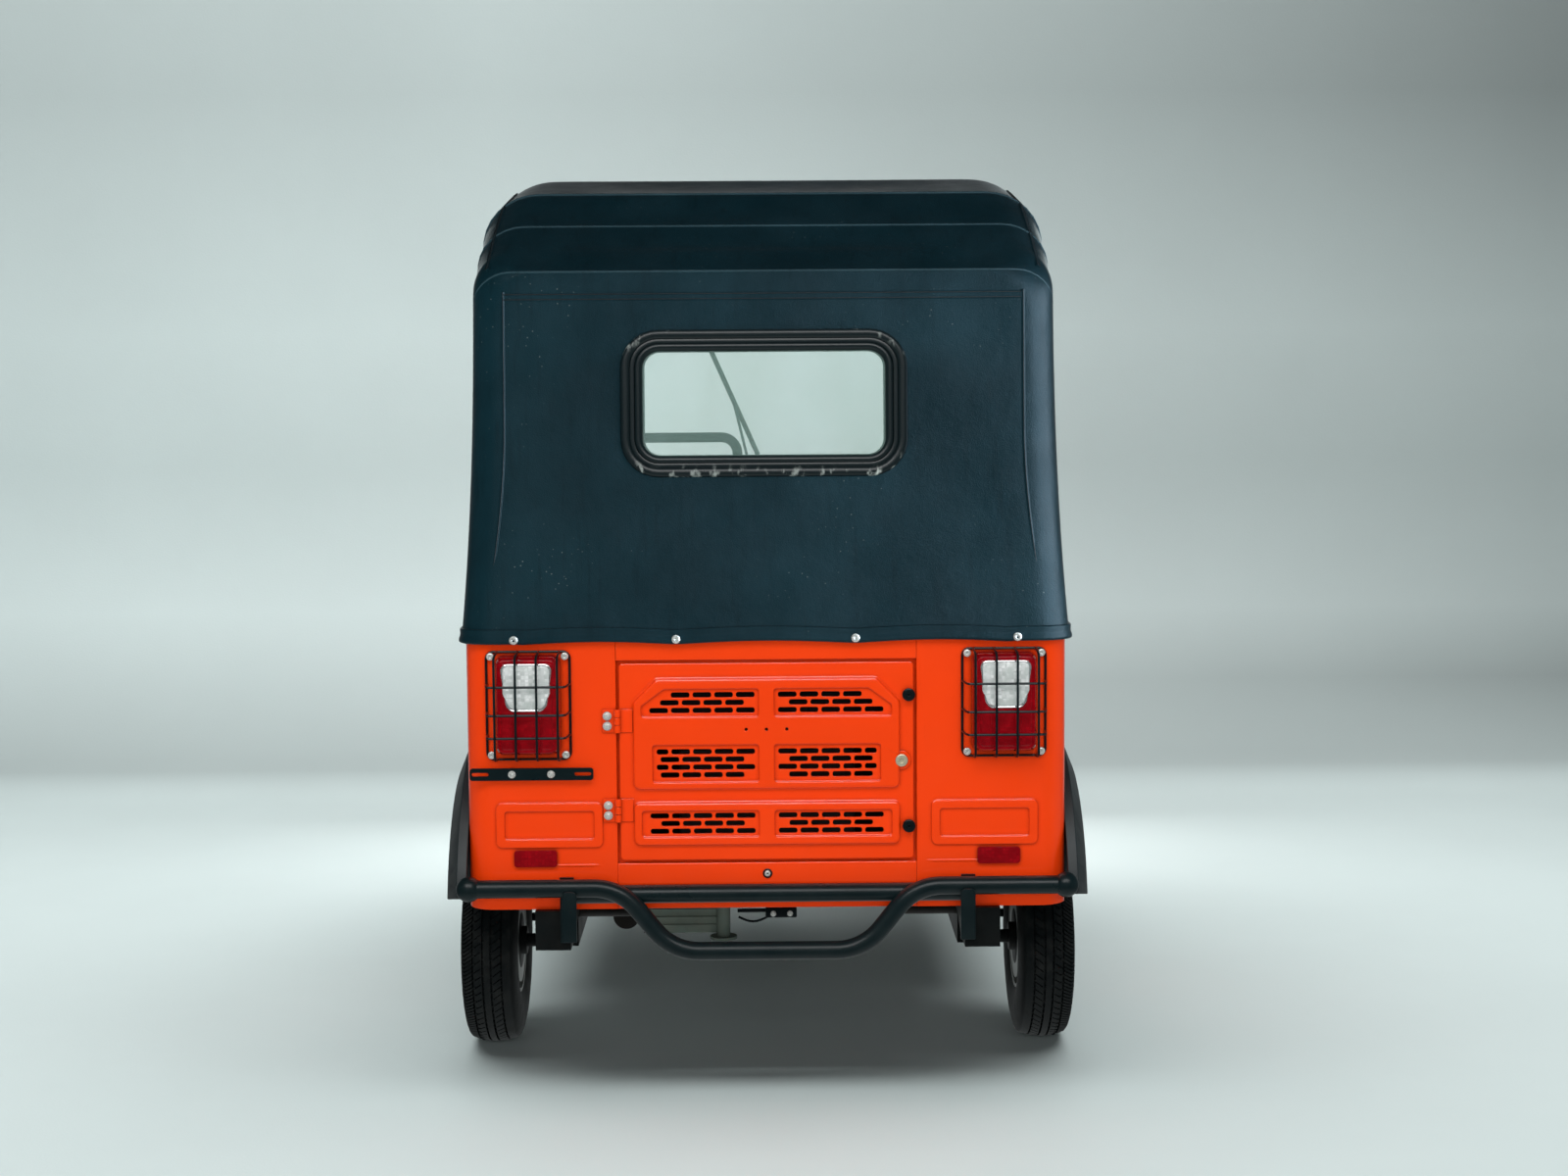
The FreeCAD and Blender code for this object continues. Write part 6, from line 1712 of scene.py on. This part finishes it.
class RICKSHAW_OT_chassis(bpy.types.Operator):
    """Dresses the chassis, running gear, engine, exhaust and bumper"""

    bl_idname = "rickshaw.chassis"
    bl_label = "Chassis and Engine"
    bl_options = {"REGISTER", "UNDO"}

    def execute(self, context):
        dressed_all([
            ("chassis_frame", "chassis_paint", "black_paint", 1.5),
            ("rear_bumper", "black_powder", "black_paint", 0),
            ("cab_frame", "black_powder", "black_paint", 0),
            ("trailing_arms", "chassis_paint", "black_paint", 2.0),
            ("shock_absorbers", "black_gloss", "black_paint", 0.6),
            ("half_shafts", "exhaust_steel", "engine_metal", 0.6),
            ("engine_block", "engine_metal", "engine_metal", 6.0),
            ("drive_casting", "cast_metal", "casting_paint", 1.5),
            ("silencer", "exhaust_steel", "engine_metal", 1.5),
            ("steering_fork", "chassis_paint", "black_paint", 0.8),
            ("front_mudguard", "body_enamel", "body_paint", 1.0),
        ])
        self.loom_bracket()
        self.hub_rings()
        self.brake_drums()
        self.bumper_brackets()
        return {"FINISHED"}

    def brake_drums(self):
        """Cast brake drums inside the rear wheels, with a turned lip, on the wheel bodies."""
        for side, name in ((1, "left"), (-1, "right")):
            drum = disc(0.066, 0.040, 40)
            in_edit(drum, lambda f: f.normal.z > 0.9)
            bpy.ops.mesh.inset(thickness=0.010)
            bpy.ops.transform.translate(value=(0, 0, 0.004))
            bpy.ops.mesh.inset(thickness=0.026)
            drawn(z=0.012)
            out_of_edit()
            bevelled(drum, 0.0016)
            drum.data.transform(facing(side * 0.548, REAR_AXLE_Y, AXLE_Z, (-side, 0, 0)))
            finished(drum, "brake_drum_" + name, "chassis_paint", "rear_wheel_" + name)

    def hub_rings(self):
        """Plated flanges and collars on the half shafts, inboard of the rear wheels."""
        rings = []
        for side in (1, -1):
            for x, radius, length in ((0.436, 0.023, 0.008), (0.449, 0.016, 0.018), (0.463, 0.021, 0.007)):
                ring = bevelled(disc(radius, length, 32), 0.0014)
                ring.data.transform(facing(side * x, REAR_AXLE_Y, 0.236, (1, 0, 0)))
                rings.append(ring)
        finished(rings, "hub_rings", "plated")

    def bumper_brackets(self):
        """Flat straps with rounded tops that clamp the bumper's tube from behind."""

        def top_corner(edge):
            first, second = edge.verts
            return min(first.co.z, second.co.z) > 0.38 and abs(first.co.y - second.co.y) > 0.004

        straps = []
        for x in (0.388, -0.392):
            strap = block((x, 1.3315, 0.348), (0.029, 0.006, 0.100))
            in_edit(strap, top_corner, "EDGE")
            bpy.ops.mesh.bevel(offset=0.010, segments=5)
            out_of_edit()
            bevelled(strap, 0.001, 2, 40)
            straps.append(strap)
        finished(straps, "bumper_straps", "black_powder")

    def loom_bracket(self):
        """The small black box under the body with its two bolts, its rod and its cable."""
        case = block((-0.027, 1.13, 0.312), (0.064, 0.044, 0.020))
        modify(case, "BEVEL", width=0.003, segments=2)
        rod = swept("rod", [Vector((x, 1.13, 0.313)) for x in (0.062, 0.03, 0.0)], round_section(0.004))
        drop = [Vector((0.060 - 0.06 * t / 8, 1.142, 0.303 - 0.010 * math.sin(math.pi * t / 8))) for t in range(9)]
        cable = swept("cable", drop, round_section(0.0025, 8))
        finished([case, rod, cable], "loom_bracket", "black_gloss")
        bolt = hex_head("bolt", 0.009, 0.005, 1.3)
        places = [facing(x, 1.152, 0.311) for x in (-0.011, -0.045)]
        scatter(bolt, places, "loom_bolts", "plated")


class RICKSHAW_OT_cab(bpy.types.Operator):
    """Dresses the windscreen, wiper, mirrors and handlebar"""

    bl_idname = "rickshaw.cab"
    bl_label = "Windscreen and Controls"
    bl_options = {"REGISTER", "UNDO"}

    def execute(self, context):
        painted("windscreen_glass", "glass")
        dressed_all([
            ("windscreen_frame", "black_powder", "black_paint", 2.5),
            ("windscreen_wiper", "black_gloss", "black_paint", 0.6),
            ("mirrors", "black_plastic", "black_plastic", 2.0),
            ("handlebar", "chrome", "plated_steel", 0),
            ("handlebar_grips", "seal_rubber", "seal_rubber", 1.0),
        ])
        self.mirror_glass()
        self.wiper_blade()
        return {"FINISHED"}

    def wiper_blade(self):
        """The rubber and its holder along the wiper's blade."""
        shares = (0, 0.25, 0.5, 0.75, 1)
        path = [Vector((0.156 - 0.137 * t, -0.853 - 0.094 * t, 1.501 - 0.312 * t)) for t in shares]
        section = [
            (-0.007, -0.001), (-0.004, 0.003), (0.004, 0.003),
            (0.007, -0.001), (0.001, -0.005), (-0.001, -0.005),
        ]
        blade = swept("wiper_rubber", path, section, up=Vector((0, -1, 0.3)))
        finished(blade, "wiper_rubber", "seal_rubber")

    def mirror_glass(self):
        faces = []
        for side in (1, -1):
            faces.append(lamp_shell("glass", 0.082, 0.126, 0.0012, 0.018, 0.0, (side * 0.592, -0.9725, 1.2)))
        finished(faces, "mirror_glasses", "mirror")


# Panel, registration and the run


PIECES = [
    RICKSHAW_OT_stage,
    RICKSHAW_OT_body,
    RICKSHAW_OT_hood,
    RICKSHAW_OT_rear_window,
    RICKSHAW_OT_lamps,
    RICKSHAW_OT_wheels,
    RICKSHAW_OT_seats,
    RICKSHAW_OT_chassis,
    RICKSHAW_OT_cab,
]


class RICKSHAW_PT_panel(bpy.types.Panel):
    """Lists the rickshaw's pieces, sizes and colours"""

    bl_idname = "RICKSHAW_PT_panel"
    bl_label = "Auto Rickshaw"
    bl_space_type = "VIEW_3D"
    bl_region_type = "UI"
    bl_category = "Rickshaw"

    def draw(self, context):
        layout = self.layout
        for piece in PIECES:
            layout.operator(piece.bl_idname)
        for group in (context.scene.rickshaw_colours, context.scene.rickshaw_sizes):
            for name in group.__annotations__:
                layout.prop(group, name)


CLASSES = [RickshawColours, RickshawSizes, *PIECES, RICKSHAW_PT_panel]


def register():
    for item in CLASSES:
        bpy.utils.register_class(item)
    bpy.types.Scene.rickshaw_colours = bpy.props.PointerProperty(type=RickshawColours)
    bpy.types.Scene.rickshaw_sizes = bpy.props.PointerProperty(type=RickshawSizes)


def unregister():
    del bpy.types.Scene.rickshaw_colours
    del bpy.types.Scene.rickshaw_sizes
    for item in reversed(CLASSES):
        bpy.utils.unregister_class(item)


def main():
    register()
    bpy.ops.object.select_all(action="DESELECT")
    bpy.ops.rickshaw.stage()
    bpy.ops.rickshaw.body()
    bpy.ops.rickshaw.hood()
    bpy.ops.rickshaw.rear_window()
    bpy.ops.rickshaw.lamps()
    bpy.ops.rickshaw.wheels()
    bpy.ops.rickshaw.seats()
    bpy.ops.rickshaw.chassis()
    bpy.ops.rickshaw.cab()


if __name__ == "__main__":
    main()
